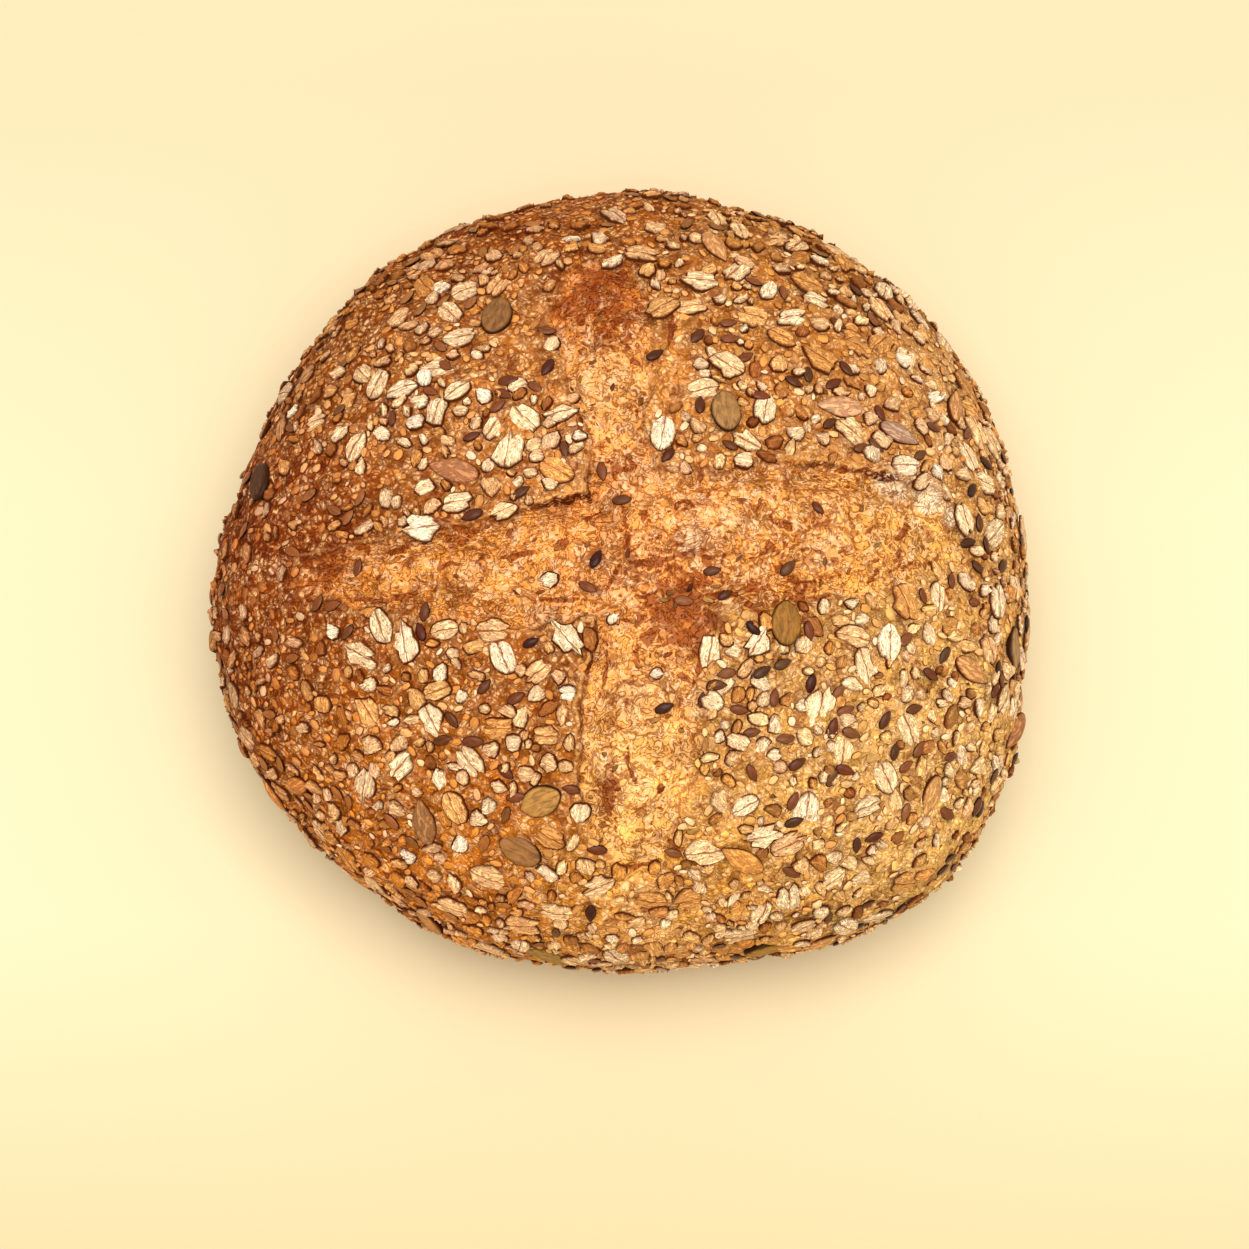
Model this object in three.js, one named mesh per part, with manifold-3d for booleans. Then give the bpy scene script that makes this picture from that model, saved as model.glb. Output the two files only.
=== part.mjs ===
// A round seeded sourdough loaf, baked on its flat base and opened by a cross cut on top.
// Millimetres, +Z up. The origin is the middle of the flat base, on the surface it stands on.
// The crust with everything baked onto it is one solid: one closed skin of dough, with the
// large kernels, oat flakes, linseeds and broken grain sunk into it and fused to it.
import * as THREE from "three";
import { mergeVertices } from "three/addons/utils/BufferGeometryUtils.js";
import Module from "manifold-3d";

// ---------------------------------------------------------------- driving dimensions
const GIRTH_RADIUS = 100; // widest mean radius, seen from above
const GIRTH_HEIGHT = 36; // height of the widest ring above the table
const LOAF_HEIGHT = 96; // the crown, at the middle of the dome
const BASE_RADIUS = 70; // flat part that lay on the oven floor
const SHOULDER = { across: 0.94, up: 0.9 }; // under 1 makes the dome fuller than an ellipse
const UNDERCUT = { across: 0.85, up: 0.9 }; // the same for the turn from girth to base

// The plan isn't a true circle: waves round the girth, by count, height and bearing in degrees.
const GIRTH_WAVES = [
  { count: 1, height: 1.6, bearing: 9 },
  { count: 2, height: 1.7, bearing: -17 },
  { count: 3, height: 2.6, bearing: -41 },
  { count: 4, height: 1.0, bearing: 41 },
  { count: 5, height: 1.1, bearing: 36 },
  { count: 6, height: 0.85, bearing: 15 },
];

// The four opened arms of the cross cut, each from the middle outwards: a place on its middle
// line in plan, and half the width of the opening there.
const CUT_ARMS = [
  [[4, -6, 15], [-21, -11, 14], [-45, -11, 9.5], [-62, -9.5, 8], [-73, -7.5, 4]], // left
  [[4, -6, 15], [21, -4.5, 17], [40, -1, 17.5], [60, 1, 15], [75, 3.5, 9]], // right
  [[2, -2, 11], [-1, 22, 6.5], [-4, 36, 10.5], [-5.5, 50, 12.5], [-5, 66, 9]], // far
  [[6, -6, 14], [7, -26, 13.5], [4, -47, 14], [3, -60, 13.5], [3, -70, 8.5]], // near
];
const CUT_EDGE_DROP = 2.2; // how far the bare dough lies under the crust where they meet
const CUT_CUSHION = 9; // inwards from the edge, where the bare dough has risen level again
const CUT_EDGE_MARGIN = 0.4; // a corner of the net this close outside the edge is still inside
const LIP = { height: 1.3, reach: 6 }; // the crust curls up along the cut and dies away
const QUARTER_BULGE = { height: 1.6, reach: 24 }; // each quarter pillows up between the arms
const CRUST_WAVE = { height: 0.7, length: 47 }; // slow unevenness of the whole skin
const RELIEF_FADE = [1.3, 2.2]; // the turns between which the relief dies out, round the girth

// The crust's net of faces is a box's, laid onto the loaf: its top is the cap, its sides are
// the flank and its bottom is the base.
const CAP_DIVISIONS = 26;
const CAP_LENGTH = 92; // along the skin, from the crown to the cap's edge
const FLANK_DIVISIONS = 9;
const SNAP_REACH = 2.9; // corners of the net this close to the cut's edge are drawn onto it

// What is baked on: length, width and thickness, the share of the thickness that stands proud,
// the number of sides, and whether it is a flat flake or a rounded kernel.
const KINDS = {
  pumpkin: { size: [12, 8, 3.2], proud: 0.6, sides: 8, flat: false },
  sunflower: { size: [12, 5.6, 3.4], proud: 0.58, sides: 8, flat: false },
  oat: { size: [8.8, 6.2, 1.6], proud: 0.62, sides: 7, flat: true },
  linseed: { size: [4.8, 2.6, 1.7], proud: 0.6, sides: 5, flat: false },
  chip: { size: [5.2, 4.2, 1.7], proud: 0.6, sides: 5, flat: true },
};
const KERNEL_TIP = 0.45; // how much narrower a pumpkin or sunflower kernel is at its tip
const FLAKE_TOP = 0.84; // a flake's upper face against its lower one

// The large kernels that show, by place in plan and by the bearing of their length, in degrees.
const KERNELS = [
  { kind: "pumpkin", at: [-30, 52], bearing: 80 },
  { kind: "pumpkin", at: [24, 27], bearing: 92 },
  { kind: "pumpkin", at: [38, -24], bearing: 88 },
  { kind: "pumpkin", at: [94, -22], bearing: 55 },
  { kind: "pumpkin", at: [34, -92], bearing: 5 },
  { kind: "pumpkin", at: [-24, -74], bearing: 150 },
  { kind: "pumpkin", at: [-19, -63], bearing: 30 },
  { kind: "pumpkin", at: [-87, 17], bearing: -50 },
  { kind: "sunflower", at: [-40, 13], bearing: -18 },
  { kind: "sunflower", at: [51, 30], bearing: 3 },
  { kind: "sunflower", at: [65, 25], bearing: -18 },
  { kind: "sunflower", at: [-46, -67], bearing: 95 },
  { kind: "sunflower", at: [28, -76], bearing: -38 },
];

// The rest is spread by rule, one place for each turn of the golden angle, with the kinds in
// this cycle, so that every part of the crust has its share of each.
const SPREAD_PLACES = 188;
const SPREAD_CYCLE = ["oat", "chip", "oat", "linseed", "oat", "chip", "oat", "linseed", "chip"];
const SPREAD_JITTER = 2.5; // how far a place is moved at random along the skin
const SPREAD_SCALE = { least: 0.85, most: 1.2 };
const SPREAD_LOWEST = 20; // nothing is fused on lower than this, clear of the table
const SPREAD_SEED = 20;
const CLEAR_OF_CUT = 5; // the grain was rolled on before the cut, so that opened bare
const CLEAR_OF_KERNEL = 10; // between the middles of a kernel and a spread piece
const CLEAR_OF_SPREAD = 9.5; // between the middles of two spread pieces

const CRUST_COLOUR = 0xbf7c38;
const CRUST_ROUGHNESS = 0.72;

const { clamp, degToRad, lerp, smoothstep } = THREE.MathUtils;
const QUARTER_TURN = Math.PI / 2;

// ---------------------------------------------------------------- the smooth skin

// How far the plan's radius at a bearing is from the mean, as a factor.
function girthFactor(bearing) {
  const wave = (w) => w.height * Math.cos(w.count * (bearing - degToRad(w.bearing)));
  return 1 + GIRTH_WAVES.reduce((sum, w) => sum + wave(w), 0) / GIRTH_RADIUS;
}

// The mean profile. `turn` runs from 0 at the crown through a quarter turn at the girth to a
// half turn at the rim of the flat base.
function profile(turn) {
  if (turn <= QUARTER_TURN) {
    const across = Math.sin(turn) ** SHOULDER.across;
    const up = Math.max(Math.cos(turn), 0) ** SHOULDER.up;
    return {
      radius: GIRTH_RADIUS * across,
      height: GIRTH_HEIGHT + (LOAF_HEIGHT - GIRTH_HEIGHT) * up,
      waviness: Math.sin(turn) ** 1.5,
    };
  }
  const under = Math.min(turn - QUARTER_TURN, QUARTER_TURN);
  const across = Math.max(Math.cos(under), 0) ** UNDERCUT.across;
  return {
    radius: BASE_RADIUS + (GIRTH_RADIUS - BASE_RADIUS) * across,
    height: GIRTH_HEIGHT * (1 - Math.sin(under) ** UNDERCUT.up),
    waviness: 1 - 0.3 * Math.sin(under),
  };
}

function skinPoint(turn, bearing) {
  const { radius, height, waviness } = profile(turn);
  const out = radius * (1 + (girthFactor(bearing) - 1) * waviness);
  return new THREE.Vector3(out * Math.cos(bearing), out * Math.sin(bearing), height);
}

// The outward normal of the skin, from two short steps along it.
function skinNormal(turn, bearing) {
  const step = 0.01;
  const middle = clamp(turn, 2 * step, Math.PI - 2 * step);
  const down = skinPoint(middle + step, bearing).sub(skinPoint(middle - step, bearing));
  const round = skinPoint(middle, bearing + step).sub(skinPoint(middle, bearing - step));
  return down.cross(round).normalize();
}

// The profile's length and the skin's area from the crown down to each turn, in small steps.
function measureSkin() {
  const steps = 720;
  const rows = [{ turn: 0, length: 0, area: 0, height: LOAF_HEIGHT }];
  for (let i = 1; i <= steps; i++) {
    const turn = (Math.PI * i) / steps;
    const from = profile((Math.PI * (i - 1)) / steps);
    const to = profile(turn);
    const stride = Math.hypot(to.radius - from.radius, to.height - from.height);
    const last = rows[i - 1];
    rows.push({
      turn,
      length: last.length + stride,
      area: last.area + Math.PI * (from.radius + to.radius) * stride,
      height: to.height,
    });
  }
  return rows;
}
const SKIN_ROWS = measureSkin();
const SKIN_LENGTH = SKIN_ROWS.at(-1).length;

// The turn at which the length or the area from the crown reaches an amount.
function turnWhere(key, amount) {
  const i = clamp(SKIN_ROWS.findIndex((row) => row[key] >= amount), 1, SKIN_ROWS.length - 1);
  const [a, b] = [SKIN_ROWS[i - 1], SKIN_ROWS[i]];
  return lerp(a.turn, b.turn, clamp((amount - a[key]) / (b[key] - a[key]), 0, 1));
}

// The place on the dome that lies over a place in plan, found by halving.
function domePlace(x, y) {
  const bearing = Math.atan2(y, x);
  let [low, high] = [0, QUARTER_TURN];
  for (let i = 0; i < 30; i++) {
    const middle = (low + high) / 2;
    const p = skinPoint(middle, bearing);
    const short = Math.hypot(p.x, p.y) < Math.hypot(x, y);
    [low, high] = short ? [middle, high] : [low, middle];
  }
  return { turn: (low + high) / 2, bearing };
}

// ---------------------------------------------------------------- the relief on the skin

// Signed distance in plan to the edge of the opened cut: below 0 on the bare dough.
function distanceToCut(x, y) {
  let nearest = Infinity;
  for (const arm of CUT_ARMS) {
    for (let i = 1; i < arm.length; i++) {
      const [ax, ay, aHalf] = arm[i - 1];
      const [bx, by, bHalf] = arm[i];
      const [dx, dy] = [bx - ax, by - ay];
      const along = clamp(((x - ax) * dx + (y - ay) * dy) / (dx * dx + dy * dy), 0, 1);
      const off = Math.hypot(x - ax - along * dx, y - ay - along * dy);
      nearest = Math.min(nearest, off - lerp(aHalf, bHalf, along));
    }
  }
  return nearest;
}

// How far the skin is raised or sunk over a place in plan.
function relief(x, y) {
  const turnsX = (2 * Math.PI * x) / CRUST_WAVE.length;
  const turnsY = (2 * Math.PI * y) / CRUST_WAVE.length;
  const wave = CRUST_WAVE.height * Math.sin(turnsX + 1) * Math.cos(turnsY);
  const outside = distanceToCut(x, y);
  if (outside < CUT_EDGE_MARGIN) {
    return wave - CUT_EDGE_DROP * (1 - smoothstep(-outside, 0, CUT_CUSHION));
  }
  const lip = LIP.height * Math.exp(-outside / LIP.reach);
  const bulge = QUARTER_BULGE.height * (1 - Math.exp(-outside / QUARTER_BULGE.reach));
  return wave + lip + bulge;
}

function crustPoint(turn, bearing) {
  const point = skinPoint(turn, bearing);
  const share = 1 - smoothstep(turn, ...RELIEF_FADE);
  return point.addScaledVector(skinNormal(turn, bearing), share * relief(point.x, point.y));
}

// ---------------------------------------------------------------- the crust's net of faces

// A place on a square from -1 to 1 becomes a place on a disc, with no bunched corners.
function squareToDisc(x, y) {
  const reach = Math.max(Math.abs(x), Math.abs(y));
  if (reach === 0) return { reach, bearing: 0 };
  const sideways = Math.abs(x) > Math.abs(y);
  const angle = sideways ? (Math.PI / 4) * (y / x) : QUARTER_TURN - (Math.PI / 4) * (x / y);
  const behind = sideways ? x < 0 : y < 0;
  return { reach, bearing: angle + (behind ? Math.PI : 0) };
}

// A corner of the cap. Close to the cut's edge it is drawn onto that edge, so that the edge
// runs along the net instead of across it.
function capCorner(turn, bearing) {
  const { x, y } = skinPoint(turn, bearing);
  const outside = distanceToCut(x, y);
  if (Math.abs(outside) > SNAP_REACH) return crustPoint(turn, bearing);
  const step = 0.05;
  const slopeX = (distanceToCut(x + step, y) - outside) / step;
  const slopeY = (distanceToCut(x, y + step) - outside) / step;
  const onEdge = domePlace(x - outside * slopeX, y - outside * slopeY);
  return crustPoint(onEdge.turn, onEdge.bearing);
}

// The flat base needs no net, so all of its inner corners meet in the middle, as in a fan.
function netCorner({ x, y, z }) {
  const { reach, bearing } = squareToDisc(x, y);
  if (z === 1) return capCorner(turnWhere("length", reach * CAP_LENGTH), bearing);
  if (z === -1) return skinPoint(Math.PI, bearing).multiplyScalar(reach === 1 ? 1 : 0).setZ(0);
  const length = lerp(CAP_LENGTH, SKIN_LENGTH, (1 - z) / 2);
  return crustPoint(turnWhere("length", length), bearing);
}

function crustGeometry() {
  const net = new THREE.BoxGeometry(
    2, 2, 2, CAP_DIVISIONS, CAP_DIVISIONS, FLANK_DIVISIONS,
  );
  const position = net.attributes.position;
  const corner = new THREE.Vector3();
  for (let i = 0; i < position.count; i++) {
    const placed = netCorner(corner.fromBufferAttribute(position, i));
    position.setXYZ(i, placed.x, placed.y, placed.z);
  }
  return net;
}

// ---------------------------------------------------------------- what is baked onto it

// One piece lying in its own XY plane with its length along X: a kernel is a stretched ball
// that narrows to a tip, a flake is a low drum with a smaller upper face.
function pieceGeometry(kind, scale) {
  const { size, sides, flat } = KINDS[kind];
  const body = flat
    ? new THREE.CylinderGeometry(FLAKE_TOP / 2, 0.5, 1, sides)
    : new THREE.SphereGeometry(0.5, sides, 4);
  body.rotateX(QUARTER_TURN);
  const position = body.attributes.position;
  for (let i = 0; !flat && i < position.count; i++) {
    const tipward = clamp(position.getX(i) / 0.5, 0, 1);
    position.setY(i, position.getY(i) * (1 - KERNEL_TIP * tipward ** 2));
  }
  return body.scale(size[0] * scale, size[1] * scale, size[2] * scale);
}

// Lays a piece on the crust, its length along a heading in plan, sunk by its kind's share.
function laidPiece({ kind, place, heading, scale }) {
  const up = skinNormal(place.turn, place.bearing);
  const ahead = new THREE.Vector3(Math.cos(heading), Math.sin(heading), 0);
  const side = up.clone().cross(ahead).normalize();
  const along = side.clone().cross(up);
  const { size, proud } = KINDS[kind];
  const lift = size[2] * scale * (proud - 0.5);
  const middle = crustPoint(place.turn, place.bearing).addScaledVector(up, lift);
  const frame = new THREE.Matrix4().makeBasis(along, side, up).setPosition(middle);
  return pieceGeometry(kind, scale).applyMatrix4(frame);
}

function kernelPieces() {
  return KERNELS.map(({ kind, at, bearing }) => (
    { kind, place: domePlace(...at), heading: degToRad(bearing), scale: 1 }
  ));
}

// Numbers from 0 to 1 that are the same at every run.
function seededRandom(seed) {
  let state = seed;
  return () => {
    state = (state * 1664525 + 1013904223) % 4294967296;
    return state / 4294967296;
  };
}

// Places spread evenly over the skin's area from the crown down to the flank, less those on the
// bare dough and those too close to another piece.
function spreadPieces(kernels) {
  const random = seededRandom(SPREAD_SEED);
  const goldenAngle = Math.PI * (3 - Math.sqrt(5));
  const coveredArea = SKIN_ROWS.findLast((row) => row.height > SPREAD_LOWEST).area;
  const middle = ({ turn, bearing }) => crustPoint(turn, bearing);
  const taken = kernels.map((k) => ({ at: middle(k.place), clear: CLEAR_OF_KERNEL }));
  const pieces = [];
  for (let i = 0; i < SPREAD_PLACES; i++) {
    const jitter = SPREAD_JITTER * (2 * random() - 1);
    const evenTurn = turnWhere("area", (coveredArea * (i + 0.5)) / SPREAD_PLACES);
    const place = { turn: evenTurn + jitter / GIRTH_RADIUS, bearing: i * goldenAngle };
    const kind = SPREAD_CYCLE[i % SPREAD_CYCLE.length];
    const scale = lerp(SPREAD_SCALE.least, SPREAD_SCALE.most, random());
    const heading = 2 * Math.PI * random();
    const at = middle(place);
    const onBareDough = distanceToCut(at.x, at.y) < CLEAR_OF_CUT;
    const crowded = taken.some((other) => other.at.distanceTo(at) < other.clear);
    if (onBareDough || crowded) continue;
    taken.push({ at, clear: CLEAR_OF_SPREAD });
    pieces.push({ kind, place, heading, scale });
  }
  return pieces;
}

// ---------------------------------------------------------------- joining it all

const wasm = await Module();
wasm.setup();

// A geometry with its shared corners merged, as a solid.
function solidFrom(geometry) {
  geometry.deleteAttribute("normal");
  geometry.deleteAttribute("uv");
  const merged = mergeVertices(geometry, 1e-4);
  const mesh = new wasm.Mesh({
    numProp: 3,
    vertProperties: new Float32Array(merged.attributes.position.array),
    triVerts: new Uint32Array(merged.index.array),
  });
  return new wasm.Manifold(mesh);
}

function geometryFrom(solid) {
  const { vertProperties, triVerts } = solid.getMesh();
  const geometry = new THREE.BufferGeometry();
  geometry.setAttribute("position", new THREE.BufferAttribute(vertProperties, 3));
  geometry.setIndex(new THREE.BufferAttribute(triVerts, 1));
  geometry.computeVertexNormals();
  return geometry;
}

// The largest body of the union: a hollow or a loose scrap would be a body of its own.
function seededCrust() {
  const kernels = kernelPieces();
  const toppings = [...kernels, ...spreadPieces(kernels)].map(laidPiece);
  const union = wasm.Manifold.union([crustGeometry(), ...toppings].map(solidFrom));
  const bySize = union.decompose().sort((a, b) => b.volume() - a.volume());
  return geometryFrom(bySize[0]);
}

const loaf = new THREE.Mesh(
  seededCrust(),
  new THREE.MeshStandardMaterial({
    color: CRUST_COLOUR,
    roughness: CRUST_ROUGHNESS,
    metalness: 0,
  }),
);
loaf.name = "loaf";

const seededLoaf = new THREE.Group();
seededLoaf.add(loaf);

export default seededLoaf;
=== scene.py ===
"""A round seeded sourdough loaf, opened by a cross cut, lying on its flat base.

Sizes inside the sections are in millimetres; MM turns them into Blender's metres.
"""
import itertools
import math

import bpy
import numpy as np
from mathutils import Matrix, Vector, noise
from mathutils.bvhtree import BVHTree
from mathutils.kdtree import KDTree


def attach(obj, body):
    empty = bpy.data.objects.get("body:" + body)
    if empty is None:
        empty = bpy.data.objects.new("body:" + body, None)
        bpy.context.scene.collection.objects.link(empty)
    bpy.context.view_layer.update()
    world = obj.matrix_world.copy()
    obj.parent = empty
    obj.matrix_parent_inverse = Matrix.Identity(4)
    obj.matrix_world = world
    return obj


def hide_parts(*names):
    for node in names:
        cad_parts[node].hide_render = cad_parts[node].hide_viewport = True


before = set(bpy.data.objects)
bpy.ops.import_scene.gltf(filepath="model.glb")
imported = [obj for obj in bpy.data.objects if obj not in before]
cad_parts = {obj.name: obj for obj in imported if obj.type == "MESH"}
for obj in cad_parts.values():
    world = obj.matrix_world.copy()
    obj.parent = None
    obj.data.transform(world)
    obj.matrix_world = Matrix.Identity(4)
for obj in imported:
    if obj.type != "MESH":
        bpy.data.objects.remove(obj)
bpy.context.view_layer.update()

# ---------------------------------------------------------------- The camera
# The photo looks almost straight at the cross cut. The loaf lies on its base here, so the
# camera stands high over the table and looks down on it from just in front.
MM = 0.001
PHOTO_WIDTH = 1249  # pixels
GIRTH_IN_PHOTO = (623, 587)  # the pixel where the middle of the girth's ring lies
ABOVE_TABLE = math.radians(76)
CAMERA_DISTANCE = 872.0
GIRTH_MIDDLE = Vector((0, 0, 36))

bpy.ops.object.camera_add(rotation=(math.pi / 2 - ABOVE_TABLE, 0, 0))
camera = bpy.context.object
camera.name = "camera"
camera.data.lens = 100
camera.data.sensor_width = 36
photo_pixel = CAMERA_DISTANCE * camera.data.sensor_width / camera.data.lens / PHOTO_WIDTH
camera_turn = camera.rotation_euler.to_matrix()
camera_place = GIRTH_MIDDLE + camera_turn @ Vector((
    (PHOTO_WIDTH / 2 - GIRTH_IN_PHOTO[0]) * photo_pixel,
    (GIRTH_IN_PHOTO[1] - PHOTO_WIDTH / 2) * photo_pixel,
    CAMERA_DISTANCE,
))
camera.location = camera_place * MM
bpy.context.scene.camera = camera

# ---------------------------------------------------------------- The crust
# One skin of baked dough: a round loaf shaped by hand, proved in a basket and baked on an
# oven floor. A cross was cut into it just before the bake, and the four arms opened wide and
# bare, while the grain that was rolled on before stayed on the four quarters and the flanks.
GIRTH_RADIUS = 100.0  # widest mean radius, seen from above
GIRTH_HEIGHT = 36.0
LOAF_HEIGHT = 96.0
BASE_RADIUS = 70.0
SHOULDER = (0.94, 0.9)  # across and up: under 1 makes the dome fuller than an ellipse
UNDERCUT = (0.85, 0.9)
GIRTH_WAVES = (  # count round the loaf, height and bearing in degrees
    (1, 1.6, 9), (2, 1.7, -17), (3, 2.6, -41), (4, 1.0, 41), (5, 1.1, 36), (6, 0.85, 15),
)
CUT_ARMS = (  # from the middle outwards: x, y and half the width of the opening
    ((4, -6, 15), (-21, -11, 14), (-45, -11, 9.5), (-62, -9.5, 8), (-73, -7.5, 4)),
    ((4, -6, 15), (21, -4.5, 17), (40, -1, 17.5), (60, 1, 15), (75, 3.5, 9)),
    ((2, -2, 11), (-1, 22, 6.5), (-4, 36, 10.5), (-5.5, 50, 12.5), (-5, 63, 9)),
    ((6, -6, 14), (7, -26, 13.5), (4, -47, 14), (3, -60, 13.5), (3, -70, 8.5)),
)
CUT_EDGE_DROP = 2.2
CUT_CUSHION = (9.0, 1.0)  # how far in from its edge the bare dough rises again, and how high
LIP = (1.3, 5.0)  # height and reach of the crust's curl along the cut
EDGE_WANDER = ((0.9, 11, 1), (0.6, 3.6, 2))  # height, size across and seed of its lumps
CUT_LUMPS = ((0.35, 5, 5),)
LIP_LUMPS = ((0.45, 6, 6),)
CRUST_LUMPS = ((0.6, 15, 7), (0.3, 4, 8))
STRETCH_FOLDS = (0.45, 4.5)  # height and spacing of the folds along each arm
FOLD_DRAW = 4.5  # how many times longer the folds are along an arm than across it
STRAND_DRAW = 3.0  # the same for the strands of cracked skin
FAR = 9.0  # further than this from a bubble's rim or a grain's edge makes no difference
EDGE_STRENGTHS = (  # x, y, reach and how sharply the cut's edge stands there, from 0 to 1
    (-10, 3, 9, 1.3), (-36, 0, 14, 0.8), (-60, -1, 10, 0.9), (-66, -17, 14, 0.45),
    (-36, -22, 14, 0.4), (-9, -22, 7, 1.2), (-9, -38, 14, 1.1), (-8, -60, 12, 0.5),
    (3, -78, 12, 0.3), (19, -62, 12, 0.3), (20, -36, 14, 0.35), (20, -22, 6, 0.6),
    (42, -19, 16, 0.45), (70, -12, 14, 0.3), (84, 6, 10, 0.3), (66, 20, 12, 0.9),
    (34, 19, 16, 0.9), (12, 14, 8, 0.4), (8, 38, 14, 0.45), (4, 70, 14, 0.4),
    (-18, 52, 14, 0.35), (-10, 26, 8, 0.5),
)
QUARTER_BULGE = (1.6, 24.0)  # height, and how far from the cut it has risen
CRUST_WAVE = (0.7, 47.0)  # height and length
DOME_TURNS = (1.3, 2.0)  # the cut, its lips and the bulges fade out between these turns
BASE_FADE = (0.5, 14)  # and all unevenness fades out between these heights, towards the base
BUBBLES = (  # gas that lifted the bare dough: pixels in the photo, radius, height, paleness
    (892, 484, 6.5, 1.4, 0.9), (925, 498, 6, 1.5, 1.0), (946, 516, 4, 0.9, 1.0),
    (712, 522, 8.5, 1.0, 0.1), (690, 541, 4, 0.6, 0.35), (828, 549, 6.5, 0.5, 0.15),
    (776, 468, 4.5, 0.5, 0.15), (608, 576, 7, 0.8, 0.1), (650, 552, 6, 0.6, 0.1),
    (655, 470, 7, 0.6, 0.1), (466, 569, 5, 0.3, 0.15), (700, 702, 5, 0.8, 0.3),
    (716, 812, 9, 1.2, 0.1), (610, 768, 5, 0.4, 0.25), (638, 788, 5, 0.4, 0.2),
    (604, 372, 7, 0.6, 0.1), (640, 705, 7, 0.5, 0.1), (830, 506, 5, 0.5, 0.1),
)
NET_STEPS = (8, 16)  # the cube's edges are cut into 8, and each of those into 16
CAP_LENGTH = 50.0  # along the skin, from the crown to the edge of the cube's upper face


def smoothstep(x, low, high):
    share = np.clip((x - low) / (high - low), 0, 1)
    return share * share * (3 - 2 * share)


def skin_points(turn, bearing):
    """The smooth skin: turn goes from 0 at the crown by pi/2 at the girth to pi at the base."""
    dome = np.clip(turn, 0, math.pi / 2)
    under = np.clip(turn - math.pi / 2, 0, math.pi / 2)
    upper = turn <= math.pi / 2
    radius = np.where(
        upper,
        GIRTH_RADIUS * np.sin(dome) ** SHOULDER[0],
        BASE_RADIUS + (GIRTH_RADIUS - BASE_RADIUS) * np.abs(np.cos(under)) ** UNDERCUT[0],
    )
    height = np.where(
        upper,
        GIRTH_HEIGHT + (LOAF_HEIGHT - GIRTH_HEIGHT) * np.abs(np.cos(dome)) ** SHOULDER[1],
        GIRTH_HEIGHT * (1 - np.sin(under) ** UNDERCUT[1]),
    )
    waviness = np.where(upper, np.sin(dome) ** 1.5, 1 - 0.3 * np.sin(under))
    wave = sum(
        rise / GIRTH_RADIUS * np.cos(count * (bearing - math.radians(lean)))
        for count, rise, lean in GIRTH_WAVES
    )
    out = radius * (1 + wave * waviness)
    return np.stack([out * np.cos(bearing), out * np.sin(bearing), height], axis=-1)


def skin_normals(turn, bearing):
    step = 0.01
    middle = np.clip(turn, 2 * step, math.pi - 2 * step)
    down = skin_points(middle + step, bearing) - skin_points(middle - step, bearing)
    around = skin_points(middle, bearing + step) - skin_points(middle, bearing - step)
    normal = np.cross(down, around)
    return normal / np.linalg.norm(normal, axis=-1, keepdims=True)


# The mean profile in small steps, with its length and the skin's area down from the crown.
profile_turns = np.linspace(0, math.pi, 721)
profile = skin_points(profile_turns, np.zeros(721))
profile_strides = np.linalg.norm(np.diff(profile, axis=0), axis=1)
profile_lengths = np.concatenate([[0], np.cumsum(profile_strides)])
profile_girths = math.pi * (profile[1:, 0] + profile[:-1, 0])
profile_areas = np.concatenate([[0], np.cumsum(profile_strides * profile_girths)])


def distance_to_cut(x, y):
    """Signed distance in plan to the cut's edge, below 0 inside, with the way along and
    across the nearest arm."""
    nearest = np.full(x.shape, np.inf)
    along_arm = np.zeros(x.shape)
    across_arm = np.zeros(x.shape)
    for arm in CUT_ARMS:
        run = 0.0
        for (ax, ay, a_half), (bx, by, b_half) in zip(arm, arm[1:]):
            dx, dy = bx - ax, by - ay
            length = math.hypot(dx, dy)
            share = np.clip(((x - ax) * dx + (y - ay) * dy) / length**2, 0, 1)
            off = np.hypot(x - ax - share * dx, y - ay - share * dy)
            distance = off - (a_half + share * (b_half - a_half))
            closer = distance < nearest
            nearest = np.where(closer, distance, nearest)
            along_arm = np.where(closer, run + share * length, along_arm)
            side = ((x - ax) * dy - (y - ay) * dx) / length
            across_arm = np.where(closer, side, across_arm)
            run += length
    return nearest, along_arm, across_arm


def lumps(points, size, seed):
    """Smooth noise between about -1 and 1, with lumps about `size` mm across."""
    shifted = points / size + 31.7 * seed
    return 2 * np.array([noise.noise(p) for p in shifted.tolist()])


def unevenness(points, layers):
    return sum(height * lumps(points, size, seed) for height, size, seed in layers)


def blended(points, areas):
    """Values that hold within the areas' reach and blend between them: each area is x, y,
    reach and its value or its hex colour, in plan."""
    total = 0
    weights = 0
    for x, y, reach, value in areas:
        away = np.hypot(points[:, 0] - x, points[:, 1] - y) / reach
        weight = (np.exp(-0.5 * away**2) + 1e-6 / (1 + away**2))[:, None]
        value = linear(value) if isinstance(value, str) else np.atleast_1d(value)
        total = total + weight * value
        weights = weights + weight
    return total / weights


# A cube of the loaf's own size, cut into small faces and then laid onto the loaf.
bpy.ops.object.select_all(action="DESELECT")
bpy.ops.mesh.primitive_cube_add(size=2 * GIRTH_RADIUS * MM, location=(0, 0, 0))
crust = bpy.context.object
crust.name = "crust"
bpy.ops.object.mode_set(mode="EDIT")
bpy.ops.mesh.select_all(action="SELECT")
for steps in NET_STEPS:
    bpy.ops.mesh.subdivide(number_cuts=steps - 1)
bpy.ops.object.mode_set(mode="OBJECT")

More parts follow.
